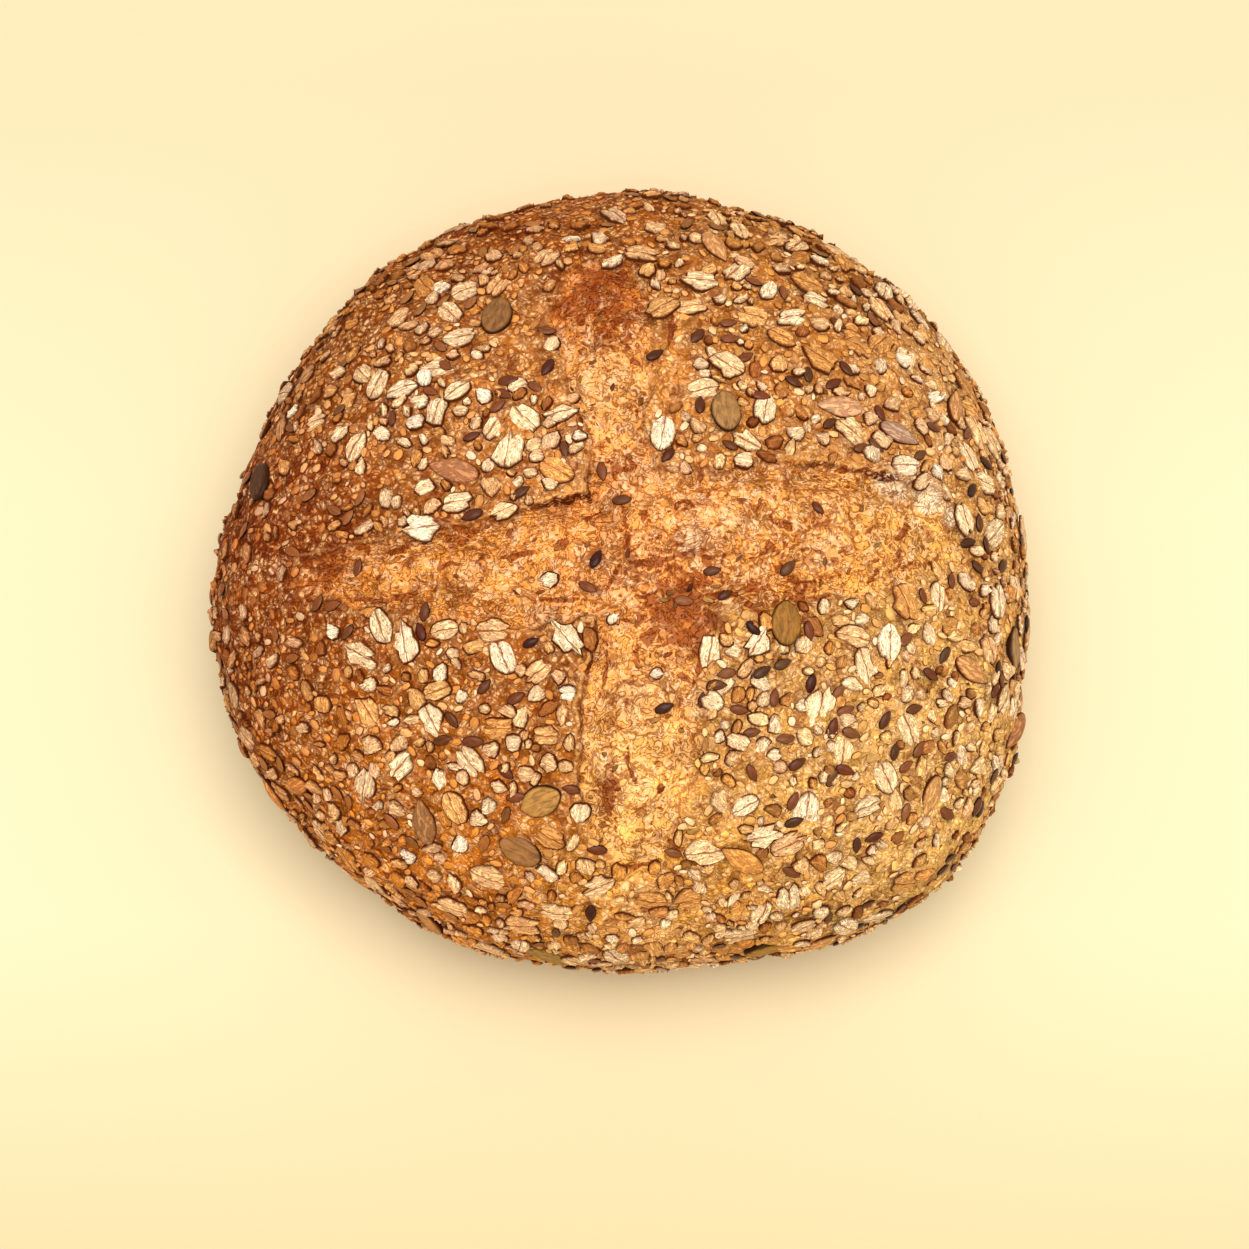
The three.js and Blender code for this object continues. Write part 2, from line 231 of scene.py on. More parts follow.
net = np.empty(len(crust.data.vertices) * 3)
crust.data.vertices.foreach_get("co", net)
net = net.reshape(-1, 3) / (GIRTH_RADIUS * MM)
net_x, net_y, net_z = net.T
net_reach = np.maximum(np.abs(net_x), np.abs(net_y))
sideways = np.abs(net_x) > np.abs(net_y)
longer = np.where(sideways, net_x, net_y)
shorter = np.where(sideways, net_y, net_x)
lean = math.pi / 4 * shorter / np.where(longer == 0, 1, longer)
bearings = np.where(sideways, lean, math.pi / 2 - lean) + np.where(longer < 0, math.pi, 0)
on_cap = net_z > 0.9999
on_base = net_z < -0.9999
lengths = np.where(
    on_cap,
    net_reach * CAP_LENGTH,
    CAP_LENGTH + (1 - net_z) / 2 * (profile_lengths[-1] - CAP_LENGTH),
)
turns = np.interp(lengths, profile_lengths, profile_turns)
smooth_skin = skin_points(turns, bearings)
smooth_skin[on_base] *= net_reach[on_base, None]
outward = skin_normals(turns, bearings)
outward[on_base] = (0, 0, -1)

plan_x, plan_y, plan_z = smooth_skin.T
from_cut, along_cut, across_cut = distance_to_cut(plan_x, plan_y)
from_cut = from_cut + unevenness(smooth_skin, EDGE_WANDER)
on_dome = 1 - smoothstep(turns, *DOME_TURNS)
strength = blended(smooth_skin, EDGE_STRENGTHS)[:, 0]
strength = np.clip(strength * (1 + 0.4 * lumps(smooth_skin, 12, 3)), 0.1, 1.4)
edge_width = 0.5 + 1.5 * np.clip(1 - strength, 0, 1)
bare = (1 - smoothstep(from_cut / edge_width, -1, 1)) * on_dome


def drawn_out(times):
    """Each corner's place along and across its arm, for noise drawn out along the arm."""
    return np.stack([along_cut / times, across_cut, np.zeros_like(across_cut)], axis=-1)


cushion_reach, cushion_rise = CUT_CUSHION
inside = -CUT_EDGE_DROP * strength * (1 - smoothstep(-from_cut, 0, cushion_reach))
inside += cushion_rise * smoothstep(-from_cut, 1, cushion_reach + 3)
fold_space = drawn_out(FOLD_DRAW)
fold_rise, fold_spacing = STRETCH_FOLDS
folds_up = fold_rise * (0.6 - np.abs(lumps(fold_space, fold_spacing, 4)))
inside += folds_up + unevenness(smooth_skin, CUT_LUMPS)

lip_rise, lip_reach = LIP
bulge_rise, bulge_reach = QUARTER_BULGE
outside_gap = np.maximum(from_cut, 0)
outside = lip_rise * strength * np.exp(-outside_gap / lip_reach)
outside += bulge_rise * (1 - np.exp(-outside_gap / bulge_reach))
outside += unevenness(smooth_skin, LIP_LUMPS)

wave_rise, wave_length = CRUST_WAVE
slow = wave_rise * np.sin(2 * math.pi * plan_x / wave_length + 1)
slow *= np.cos(2 * math.pi * plan_y / wave_length)
rise = on_dome * (slow + bare * inside + (1 - bare) * outside)
rise += unevenness(smooth_skin, CRUST_LUMPS) * (1 - bare)
rise *= smoothstep(plan_z, *BASE_FADE)
crust_skin = smooth_skin + outward * rise[:, None]
crust_faces = [tuple(face.vertices) for face in crust.data.polygons]


def seen_at(column, row, skin):
    """Where the skin shows at a pixel of the photo, and the number of a corner there."""
    aim = camera_turn @ Vector((
        (column - PHOTO_WIDTH / 2) * photo_pixel,
        (PHOTO_WIDTH / 2 - row) * photo_pixel,
        -CAMERA_DISTANCE,
    ))
    place, _, face, _ = skin.ray_cast(camera_place, aim.normalized())
    return np.array(place), crust_faces[face][0]


plain_skin = BVHTree.FromPolygons(crust_skin.tolist(), crust_faces)
pale = np.zeros(len(crust_skin))
bubble_gap = np.full(len(crust_skin), FAR)
for column, row, radius, height, paleness in BUBBLES:
    middle, _ = seen_at(column, row, plain_skin)
    away = np.linalg.norm(crust_skin - middle, axis=1) / radius
    crust_skin += outward * (height * np.sqrt(np.clip(1 - away**2, 0, 1)))[:, None]
    pale = np.maximum(pale, paleness * (1 - smoothstep(away, 0.5, 1.0)))
    off_rim = (away - 1) * radius
    bubble_gap = np.where(np.abs(off_rim) < np.abs(bubble_gap), off_rim, bubble_gap)


def give_places(obj, points):
    """Puts an object's vertices at these places, in millimetres."""
    obj.data.vertices.foreach_set("co", (points * MM).ravel())
    obj.data.update()


def store(mesh, name, values, kind="FLOAT", field="value"):
    """Keeps a value for each vertex under a name that the materials read."""
    mesh.attributes.new(name, kind, "POINT").data.foreach_set(field, np.ravel(values))


give_places(crust, crust_skin)
bpy.ops.object.shade_smooth()
crust_tree = BVHTree.FromPolygons(crust_skin.tolist(), crust_faces)


def linear(hex_colour):
    """An sRGB hex colour as linear red, green and blue."""
    channels = np.array([int(hex_colour[i : i + 2], 16) / 255 for i in (0, 2, 4)])
    return np.where(channels <= 0.04045, channels / 12.92, ((channels + 0.055) / 1.055) ** 2.4)


# The dough's colour by place: browner at the far left and paler at the right and the front,
# partly from the bake and partly painted shade on the left and painted light on the right
# and the front. Each area is x, y, reach and colour.
QUARTER_TONES = (
    (-94, 6, 24, "aa581c"), (-66, 58, 24, "b06a20"), (-14, 90, 24, "be7024"),
    (50, 74, 24, "c68a3c"), (95, 0, 22, "eaae5a"), (66, -56, 28, "f2c46c"), (14, -94, 20, "f0a63a"),
    (-58, -66, 22, "ea8c1c"), (-36, 32, 22, "dc9246"), (42, 38, 24, "e29846"),
    (-36, -42, 22, "c27a32"), (42, -42, 20, "e0a254"), (-84, -34, 18, "a85c18"),
    (84, 40, 12, "f2c47c"), (8, -98, 8, "fcd088"),
)
CUT_TONES = (
    (4, -4, 16, "d28440"), (42, 0, 20, "d08a40"), (74, 6, 12, "d69a4a"), (-42, -10, 20, "d0863a"),
    (-70, -8, 12, "be7430"), (-3, 34, 9, "da9850"), (-6, 56, 12, "b06424"), (6, -46, 16, "d6944a"),
    (3, -68, 12, "eaaa58"),
)
RUDDY_AREAS = (  # x, y, reach in which the dough turned red-brown, and how much
    (13, -21, 10, 0.9), (-6, 60, 10, 0.75), (38, -17, 12, 0.55), (20, 11, 8, 0.35),
    (-40, 0, 7, 0.6), (-70, -4, 9, 0.7), (14, -76, 8, 0.3), (0, 12, 6, 0.4),
    (-92, 10, 22, 0.5), (-30, 84, 14, 0.5), (-62, -70, 16, 0.4), (-10, -26, 6, 0.5),
)
RUDDY_STREAKS = (  # where the photo shows them: column, row, bearing, length and width
    (628, 541, 95, 9, 1.6), (644, 515, 80, 4, 2.2), (521, 555, 12, 13, 1.2),
    (562, 544, 40, 5, 2.4), (425, 532, 15, 7, 2.4), (470, 532, 12, 16, 1.0),
    (612, 580, 60, 8, 1.2), (703, 585, 20, 8, 2.0), (788, 525, -60, 5, 1.4),
    (770, 545, -50, 5, 1.4), (903, 533, 45, 6, 2.4), (640, 865, 10, 12, 1.6),
    (660, 788, 70, 3, 1.6), (578, 436, 80, 14, 1.3), (660, 560, 10, 16, 1.4),
    (746, 590, 25, 12, 1.8), (850, 470, 5, 16, 1.2), (560, 600, 0, 14, 1.2),
    (700, 655, 85, 14, 1.6), (606, 672, 82, 18, 1.2), (388, 600, 3, 18, 1.2),
    (672, 330, 84, 12, 1.4), (612, 330, 70, 9, 2.0), (816, 598, 10, 12, 1.4),
)

# ---------------------------------------------------------------- Pumpkin seeds
# Hulled pumpkin seeds, thin green-skinned kernels rolled onto the dough by hand. The oven has
# browned their skins to olive and grey-brown. They are the largest of the baked-on grain.
random = np.random.default_rng(7)
PUMPKIN_SIZE = (11.2, 7.6, 2.6)
PUMPKIN_SEEN = (  # pixels in the photo, and the bearing of the length there in degrees
    (497, 316, 84), (726, 411, 90), (786, 623, 86), (1013, 648, 52),
    (766, 948, 5), (520, 850, 152), (541, 801, 30), (260, 482, -50),
)
PUMPKIN_EXTRA = 9  # more on the flanks
PUMPKIN_SEEN_TONES = (
    "7c522b", "8f6639", "865920", "9a7042", "9a6913", "8a5c30", "a4743a", "421c08",
)
PUMPKIN_TONES = ("7a5830", "846024", "806828", "704e28", "78562c")
SQUEEZE = 0.86  # grains may press this close, as a share of their radii
CELL = 8.0  # wider than two of the largest grains' radii
TILT = 0.08  # the slope at which a grain commonly lies against the skin
PATTERN_STEP = 37.0  # sets each grain's own pattern apart from its neighbour's
THROW_HEIGHT = 8.0  # grain is thrown at the skin from here
THROW_LENGTH = 20.0
BASE_TURN = 2.75  # no grain sticks past this turn, on the base
ground = {}  # for each cell of space, the round patches in it and beside it
camera_right = np.array(camera_turn.col[0])
camera_up = np.array(camera_turn.col[1])

SPARSE_AREAS = (  # where little grain shows: x, y, reach and the share that is left
    (-98, 12, 34, 0.18), (-72, 62, 20, 0.35), (-20, 92, 26, 0.2), (12, 90, 16, 0.5),
    (-24, 46, 7, 0.0), (-22, 58, 7, 0.1), (13, 36, 6, 0.05), (13, 50, 6, 0.15),
    (-80, -12, 12, 0.3), (-84, -42, 16, 0.5), (16, -38, 4, 0.3),
)
FILM_AREAS = (  # x, y, reach and the share of the grain's colour that is hidden
    (-98, 8, 32, 0.5), (-64, 66, 24, 0.45), (-20, 92, 28, 0.55), (40, 92, 20, 0.35),
    (-84, -46, 20, 0.5), (-40, -86, 20, 0.3),
)


def cover(points):
    """How much of the full cover of grain lies at a place, from 0 to 1."""
    share = np.ones(len(points))
    for x, y, reach, left in SPARSE_AREAS:
        away = np.hypot(points[:, 0] - x, points[:, 1] - y) / reach
        share *= 1 - (1 - left) * np.exp(-0.5 * away**4)
    gap = distance_to_cut(points[:, 0], points[:, 1])[0]
    clumps = np.clip(0.8 + 1.1 * lumps(points, 13, 9), 0.15, 1)
    return share * clumps * smoothstep(gap, 0.2, 2.0) * smoothstep(points[:, 2], 5, 16)


def crowded(patch, radius, squeeze):
    """Whether a round patch would lie on one that is there."""
    x, y, z = patch
    return any(
        (x - near_x) ** 2 + (y - near_y) ** 2 + (z - near_z) ** 2
        < (squeeze * (radius + near_radius)) ** 2
        for near_x, near_y, near_z, near_radius
        in ground.get((x // CELL, y // CELL, z // CELL), ())
    )


def claim(patch, radius):
    for cell in itertools.product(*[(c // CELL - 1, c // CELL, c // CELL + 1) for c in patch]):
        ground.setdefault(cell, []).append((*patch, radius))


def lay(middle, up, heading, size, squeeze=SQUEEZE, forced=False, claimed=True):
    """Lays one grain on the crust as its middle, its axes and its size, unless it has no
    room. Two or three round patches in a row stand for the ground that it covers."""
    side = np.cross(up, heading)
    side /= np.linalg.norm(side)
    ahead = np.cross(side, up)
    radius = float(size[1]) / 2
    spare = max(size[0] / 2 - radius, 0)
    steps = np.linspace(-spare, spare, 3 if spare > 0.7 * radius else 2)
    patches = (middle + steps[:, None] * ahead).tolist()
    if not forced and any(crowded(patch, radius, squeeze) for patch in patches):
        return None
    for patch in patches if claimed else ():
        claim(patch, radius)
    return middle, np.array([ahead, side, up]), size


def scatter(count, tries, draw_size, share=cover, squeeze=SQUEEZE):
    """Throws grains at the crust until `count` of them lie there."""
    area = random.uniform(0, np.interp(BASE_TURN, profile_turns, profile_areas), tries)
    throw_turns = np.interp(area, profile_areas, profile_turns)
    throw_bearings = random.uniform(0, 2 * math.pi, tries)
    smooth = skin_points(throw_turns, throw_bearings)
    kept = random.uniform(0, 1, tries) < share(smooth)
    ups = skin_normals(throw_turns, throw_bearings)
    laid = []
    for start, up in zip(smooth[kept], ups[kept]):
        place = crust_tree.ray_cast(Vector(start + THROW_HEIGHT * up), Vector(-up), THROW_LENGTH)[0]
        heading = random.normal(0, 1, 3)
        grain = lay(np.array(place), up, heading, draw_size(), squeeze) if place else None
        if grain:
            laid.append(grain)
        if len(laid) == count:
            break
    return laid


def seen_grains(places, size, claimed=True):
    """Grains where the photo shows them: column, row, bearing and a share of the size."""
    laid = []
    for column, row, degrees, *share in places:
        middle, corner = seen_at(column, row, crust_tree)
        bearing = math.radians(degrees)
        heading = math.cos(bearing) * camera_right + math.sin(bearing) * camera_up
        own = np.array(size) * (share[0] if share else 1)
        laid.append(lay(middle, outward[corner], heading, own, forced=True, claimed=claimed))
    return laid


def joined_grain(name, model, grains, shape, tints, finish, sink=0.0, smooth=True):
    """Makes one piece of many grains. `shape` turns the model's corners into one grain's own
    corners, in millimetres, `tints` gives each grain's colour, and `sink` is the share of
    its thickness by which it lies in the dough."""
    corners, faces, rims = model
    paleness = blended(np.array([middle for middle, _, _ in grains]), QUARTER_TONES)[:, 0]
    places, local, colours, edges, joined_faces = [], [], [], [], []
    for index, (middle, axes, size) in enumerate(grains):
        own = shape(corners, size)
        tilt = random.normal(0, TILT, 2)
        raised = own.copy()
        raised[:, 2] += own[:, 0] * tilt[0] + own[:, 1] * tilt[1] - sink * size[2]
        places.append(middle + raised @ axes)
        local.append(np.column_stack([own[:, :2], np.full(len(own), PATTERN_STEP * index)]))
        colours.append(np.tile([*tints[index], 1.0], (len(own), 1)))
        # Painted contact shadow at the feet and toasting at the rims, stronger on darker dough.
        toasted_and_shaded = (1.25 - 0.7 * paleness[index]) * random.uniform(0.75, 1.35)
        edges.append(np.clip(rims * toasted_and_shaded, 0, 1))
        offset = index * len(corners)
        joined_faces.extend([tuple(i + offset for i in face) for face in faces])
    mesh = bpy.data.meshes.new(name)
    mesh.from_pydata((np.concatenate(places) * MM).tolist(), [], joined_faces)
    store(mesh, "grain_mm", np.concatenate(local), "FLOAT_VECTOR", "vector")
    store(mesh, "tint", np.concatenate(colours), "FLOAT_COLOR", "color")
    store(mesh, "rim", np.concatenate(edges))
    mesh.polygons.foreach_set("use_smooth", np.full(len(mesh.polygons), smooth))
    mesh.update()
    piece = bpy.data.objects.new(name, mesh)
    bpy.context.scene.collection.objects.link(piece)
    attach(piece, "root")
    mesh.materials.append(finish)


def taken_model(rims_from):
    """Takes the corners and faces off the modelled object, and removes it."""
    modelled = bpy.context.object
    corners = np.array([v.co for v in modelled.data.vertices])
    faces = [tuple(face.vertices) for face in modelled.data.polygons]
    bpy.data.objects.remove(modelled)
    return corners, faces, rims_from(corners)


def kernel_model(segments, rings):
    """A ball of radius 1 with its poles at the two ends of the kernel's length."""
    bpy.ops.object.select_all(action="DESELECT")
    bpy.ops.mesh.primitive_uv_sphere_add(segments=segments, ring_count=rings, radius=1)
    bpy.ops.object.mode_set(mode="EDIT")
    bpy.ops.mesh.select_all(action="SELECT")
    bpy.ops.transform.rotate(value=math.pi / 2, orient_axis="Y", center_override=(0, 0, 0))
    bpy.ops.object.mode_set(mode="OBJECT")
    # Its lower half takes the dark rim colour: painted shade under the kernel.
    return taken_model(lambda corners: 1 - smoothstep(corners[:, 2], 0.05, 0.6))


def sized(x, y, z, size):
    return np.column_stack([x * size[0] / 2, y * size[1] / 2, z * size[2] / 2])


def pumpkin_shape(corners, size):
    x, y, z = corners.T
    narrow = 1 - 0.28 * np.clip(x, 0, 1) ** 2 - 0.1 * np.clip(-x, 0, 1) ** 3
    rim = np.hypot(x, y)
    face = np.sign(z) * np.abs(z) ** 0.55
    ridge = 0.25 * smoothstep(rim, 0.62, 0.85) * (1 - smoothstep(rim, 0.88, 1.0))
    return sized(x, y * narrow, face * 0.8 + np.sign(z) * ridge, size)


def picked_tints(grains, tones, film, jitter=0.08, film_areas=FILM_AREAS):
    """One colour for each grain, out of a few, part hidden by a film of its dough, which is
    thicker where the crust browned most."""
    picks = np.array([linear(tone) for tone in tones])[random.integers(0, len(tones), len(grains))]
    middles = np.array([middle for middle, _, _ in grains])
    share = random.uniform(film[0], film[1], (len(grains), 1))
    for x, y, reach, more in film_areas:
        away = np.hypot(middles[:, 0] - x, middles[:, 1] - y) / reach
        share += (1 - share) * (more * np.exp(-0.5 * away**4))[:, None]
    # The film takes the dough's colour by place, painted shade and light included.
    coat = 0.95 * blended(middles, QUARTER_TONES) + 0.012
    tinted = picks * (1 - share) + coat * share
    return tinted * random.normal(1, jitter, (len(grains), 1)).clip(0.6, 1.35)


def add_node(tree, kind, inputs, output=None, **settings):
    """Adds a node with its settings, sets or links its inputs, and returns the output."""
    node = tree.nodes.new("ShaderNode" + kind)
    for name, value in settings.items():
        setattr(node, name, value)
    used = [socket for socket in node.inputs if socket.enabled]
    for key, value in inputs.items():
        socket = used[key] if isinstance(key, int) else next(s for s in used if s.name == key)
        if isinstance(value, bpy.types.NodeSocket):
            tree.links.new(value, socket)
        else:
            socket.default_value = (*linear(value), 1) if isinstance(value, str) else value
    return node.outputs[output] if output else next(s for s in node.outputs if s.enabled)


def new_material(name, roughness, specular):
    material = bpy.data.materials.new(name)
    material.use_nodes = True
    tree = material.node_tree
    surface = tree.nodes["Principled BSDF"]
    surface.inputs["Roughness"].default_value = roughness
    surface.inputs["Specular IOR Level"].default_value = specular
    return material, tree, surface


def thin_line(tree, field, inner, outer, share):
    """A line where the field is 0, as wide as `inner` each way and faded out at `outer`."""
    off_line = add_node(tree, "Math", {0: field}, operation="ABSOLUTE")
    return add_node(
        tree, "MapRange",
        {"Value": off_line, "From Min": inner, "From Max": outer, "To Min": share, "To Max": 0.0},
    )


def grain_material(name, streak, streak_mm, depth, rim_tone, cracks=0.0, crease=0.0,
                   roughness=0.6, specular=0.04):
    """The shared build of every grain's finish: its own tint, lighter and darker streaks and
    thin brown cracks along its length, a crease down the middle where it has one, and a
    dark edge against the dough: painted contact shadow at its foot and under a kernel, and
    a little toasting on a flake's top rim."""
    material, tree, surface = new_material(name, roughness, specular)
    place = add_node(tree, "Attribute", {}, "Vector", attribute_name="grain_mm")
    stretched = add_node(
        tree, "Mapping", {"Vector": place, "Scale": (0.45 / streak_mm, 1.3 / streak_mm, 1)}
    )
    streaks = add_node(
        tree, "TexNoise", {"Vector": stretched, "Scale": 1.0, "Detail": 3.0, "Distortion": 0.7}
    )
    shade = add_node(
        tree, "MapRange",
        {"Value": streaks, "From Min": 0.32, "From Max": 0.62,
         "To Min": 1 - streak, "To Max": 1 + 0.5 * streak},
    )
    tint = add_node(tree, "Attribute", {}, "Color", attribute_name="tint")
    colour = add_node(tree, "VectorMath", {0: tint, "Scale": shade}, operation="SCALE")
    off_middle = add_node(tree, "Math", {0: streaks, 1: 0.5}, operation="SUBTRACT")
    crack = thin_line(tree, off_middle, 0.01, 0.045, cracks)
    if crease:
        across = add_node(tree, "SeparateXYZ", {"Vector": place}, "Y")
        shifted = add_node(
            tree, "Math", {0: streaks, 1: 1.2, 2: across}, operation="MULTIPLY_ADD"
        )
        centred = add_node(tree, "Math", {0: shifted, 1: 0.6}, operation="SUBTRACT")
        crease_line = thin_line(tree, centred, 0.08, 0.3, crease)
        crack = add_node(tree, "Math", {0: crack, 1: crease_line}, operation="MAXIMUM")
    cracked = add_node(
        tree, "Mix", {"Factor": crack, "A": colour, "B": "703208"}, data_type="RGBA"
    )
    # The rim colour is painted contact shadow at the foot and shade under a kernel, with a little
    # toasting on a flake's top rim.
    rim = add_node(tree, "Attribute", {}, "Fac", attribute_name="rim")
    rim_share = add_node(tree, "MapRange", {"Value": rim, "From Min": 0.12, "From Max": 0.55})
    toasted_and_shaded = add_node(
        tree, "Mix", {"Factor": rim_share, "A": cracked, "B": rim_tone}, data_type="RGBA"
    )
    tree.links.new(toasted_and_shaded, surface.inputs["Base Color"])
    bump = add_node(tree, "Bump", {"Height": streaks, "Strength": depth, "Distance": 0.3 * MM})
    tree.links.new(bump, surface.inputs["Normal"])
    return material


pumpkin_grains = seen_grains(PUMPKIN_SEEN, PUMPKIN_SIZE)
pumpkin_grains += scatter(
    PUMPKIN_EXTRA, 400, lambda: np.array(PUMPKIN_SIZE) * random.uniform(0.9, 1.08),
    share=lambda points: cover(points) * (points[:, 2] < 50),
)
pumpkin_tints = picked_tints(pumpkin_grains, PUMPKIN_TONES, (0, 0.25))
pumpkin_tints[: len(PUMPKIN_SEEN)] = [linear(tone) for tone in PUMPKIN_SEEN_TONES]
pumpkin_skin = grain_material(
    "pumpkin_skin", streak=0.45, streak_mm=1.1, depth=0.7, rim_tone="2c1202",
    roughness=0.42, specular=0.1,
)
joined_grain(
    "pumpkin_seeds", kernel_model(18, 12), pumpkin_grains, pumpkin_shape, pumpkin_tints,
    pumpkin_skin, sink=0.02,
)

# ---------------------------------------------------------------- Sunflower kernels
# Hulled sunflower kernels, plump and pointed at one end, toasted tan to pinkish brown.
SUNFLOWER_SIZE = (12.6, 5.8, 3.4)
SUNFLOWER_SEEN = (
    (454, 471, 162, 1.08), (840, 407, 184), (899, 434, -20, 0.88), (424, 822, 88),
    (742, 860, 142),
)
SUNFLOWER_EXTRA = 10
SUNFLOWER_SEEN_TONES = ("ac724a", "c8946a", "a88468", "98683e", "d49048")
SUNFLOWER_TONES = ("bc8250", "b47a48", "a87046", "c48c5a", "ac7442")


def sunflower_shape(corners, size):
    x, y, z = corners.T
    narrow = 1 - 0.55 * np.clip(x + 0.1, 0, 1) ** 1.6
    return sized(x, y * narrow, z * narrow, size)


sunflower_grains = seen_grains(SUNFLOWER_SEEN, SUNFLOWER_SIZE)
sunflower_grains += scatter(
    SUNFLOWER_EXTRA, 400, lambda: np.array(SUNFLOWER_SIZE) * random.uniform(0.82, 1.02)
)
sunflower_tints = picked_tints(sunflower_grains, SUNFLOWER_TONES, (0, 0.25))
sunflower_tints[: len(SUNFLOWER_SEEN)] = [linear(tone) for tone in SUNFLOWER_SEEN_TONES]
sunflower_flesh = grain_material(
    "sunflower_flesh", streak=0.5, streak_mm=1.0, depth=0.9, rim_tone="481a04", cracks=0.6,
    roughness=0.5,
)
joined_grain(
    "sunflower_kernels", kernel_model(16, 12), sunflower_grains, sunflower_shape,
    sunflower_tints, sunflower_flesh,
)

# ---------------------------------------------------------------- Rolled oat flakes
# Whole oats steamed and rolled flat: thin cream ovals with a crease down the middle, fine
# lines along their length and ragged ends. The oven toasted their edges and a few all over.
OAT_SIZE = (8.4, 5.2, 0.8)
OAT_SEEN = (  # pixels in the photo, bearing of the crease, share of the common size
    (461, 338, 3), (525, 418, -47), (508, 450, 87, 1.12), (457, 502, 8, 0.88),
    (378, 385, 75, 0.9), (402, 389, 15, 0.85), (504, 510, 25, 0.75), (437, 411, 80, 0.85),
    (316, 422, 0, 0.75), (356, 447, 60, 0.85), (494, 426, 65, 0.8), (457, 390, 40, 0.8),
    (692, 307, 10, 0.9), (754, 317, -10, 0.95), (816, 301, -15, 0.8), (808, 284, 5),
    (819, 358, -35, 1.1), (729, 366, -30), (765, 409, 75, 0.95), (850, 431, -35),
    (663, 432, 80), (782, 337, -30, 0.8), (857, 347, -30, 0.8),
    (492, 631, 0, 0.95), (503, 656, -65), (445, 630, 10, 0.8), (498, 728, 0, 0.95),
    (544, 736, 0, 0.75), (538, 672, 40, 0.8), (470, 762, -50, 0.98), (455, 808, -70),
    (370, 713, -55, 0.9), (488, 877, -20), (549, 836, -25, 0.95), (437, 691, 20, 0.8),
    (853, 637, -10, 0.95), (864, 666, -75), (904, 603, -70, 1.1), (938, 597, 80, 0.85),
    (889, 643, 85, 0.95), (908, 729, -60), (885, 776, -60), (843, 749, 85, 0.9),
    (867, 806, 20, 0.8), (762, 836, 12, 0.95), (707, 851, 3, 1.12), (740, 935, 10, 0.95),
    (997, 601, 75, 0.95), (1014, 587, 85, 0.9), (964, 519, -70, 0.9), (710, 650, 80, 0.85),
    (745, 806, 30, 0.75), (600, 885, 30, 0.9), (555, 912, 5, 0.9), (650, 900, -10, 0.9),
    (977, 433, -70), (964, 386, -60, 1.1), (879, 308, 80),
)
OAT_COUNT = 150
OAT_TONES = (
    "f2cf9e", "eec692", "f4d6a8", "eab680", "dea666", "f2cc98", "f2d0a2", "d29250", "f4d8b0",
)
FLARE = 0.62  # how far a grain's dark foot, painted contact shadow, spreads into the dough


def flake_model(sides):
    """A thin disc of radius 1 with two rings inset in its top, and a foot under its rim."""
    bpy.ops.object.select_all(action="DESELECT")
    bpy.ops.mesh.primitive_cylinder_add(vertices=sides, radius=1, depth=1)
    disc = bpy.context.object
    for face in disc.data.polygons:
        face.select = face.normal.z > 0.9
    bpy.ops.object.mode_set(mode="EDIT")
    bpy.ops.mesh.inset(thickness=0.1)
    bpy.ops.mesh.inset(thickness=0.35)
    bpy.ops.mesh.poke()
    bpy.ops.object.mode_set(mode="OBJECT")
    return taken_model(flake_rims)


def flake_rims(corners):
    """How dark a flake is: 1 at its foot, which is painted contact shadow, less at its
    toasted rim and 0 on the rest.
    """
    out = np.hypot(corners[:, 0], corners[:, 1])
    return np.where(corners[:, 2] < 0, 1.0, 0.22 * (out > 0.95))


def torn_edge(bearing, roughness, notches):
    """One grain's own outline: how far in or out its edge lies at each bearing. The notches
    lie near the two ends of its length."""
    knots = 16
    edge = 1 + random.normal(0, roughness, knots + 1)
    for end in random.choice([0, knots // 2], notches):
        edge[(end + random.integers(-1, 2)) % knots] -= random.uniform(0.15, 0.35)
    edge[-1] = edge[0]
    return np.interp(bearing, np.linspace(-math.pi, math.pi, knots + 1), edge)


def flake_body(corners, size, edge, crumple):
    """A flake's corners: a rounded rim, a low dome inside it and a foot spread into dough."""
    x, y, z = corners.T
    out = np.hypot(x, y)
    foot = z < 0
    flare = np.where(foot, FLARE, 0) / np.maximum(out, 0.1)
    top = 0.6 + 0.35 * (out < 0.95) + 0.05 * (out < 0.7)
    return np.column_stack([
        x * (edge * size[0] / 2 + flare),
        y * (edge * size[1] / 2 + flare),
        np.where(foot, -0.25, size[2] * top + crumple),
    ])


def oat_shape(corners, size):
    x, y, z = corners.T
    bearing = np.arctan2(y, x)
    edge = torn_edge(bearing, random.choice([0.04, 0.08, 0.18]), random.integers(0, 4))
    if random.uniform() < 0.3:
        snap = random.uniform(0, 2 * math.pi)
        edge = np.minimum(edge, random.uniform(0.6, 0.85) / np.maximum(np.cos(bearing - snap), 0.2))
    bend = random.normal(0, 0.2) * x**2 + random.normal(0, 0.12) * x * y
    crumple = random.normal(0, 0.14, len(x)) * (np.hypot(x, y) < 0.95)
    return flake_body(corners, size, edge, bend + 0.15 * y**2 + crumple)


def oat_size():
    return np.array(OAT_SIZE) * random.uniform(0.8, 1.1) * random.uniform(0.9, 1.08, 3)


oat_grains = seen_grains(OAT_SEEN, OAT_SIZE)
oat_grains += scatter(OAT_COUNT, 4000, oat_size)
rolled_oat = grain_material(
    "rolled_oat", streak=0.42, streak_mm=0.9, depth=0.9, rim_tone="481a02", cracks=0.8, crease=0.9
)
joined_grain(
    "oat_flakes", flake_model(16), oat_grains, oat_shape,
    picked_tints(oat_grains, OAT_TONES, (0, 0.2)), rolled_oat, smooth=False,
)

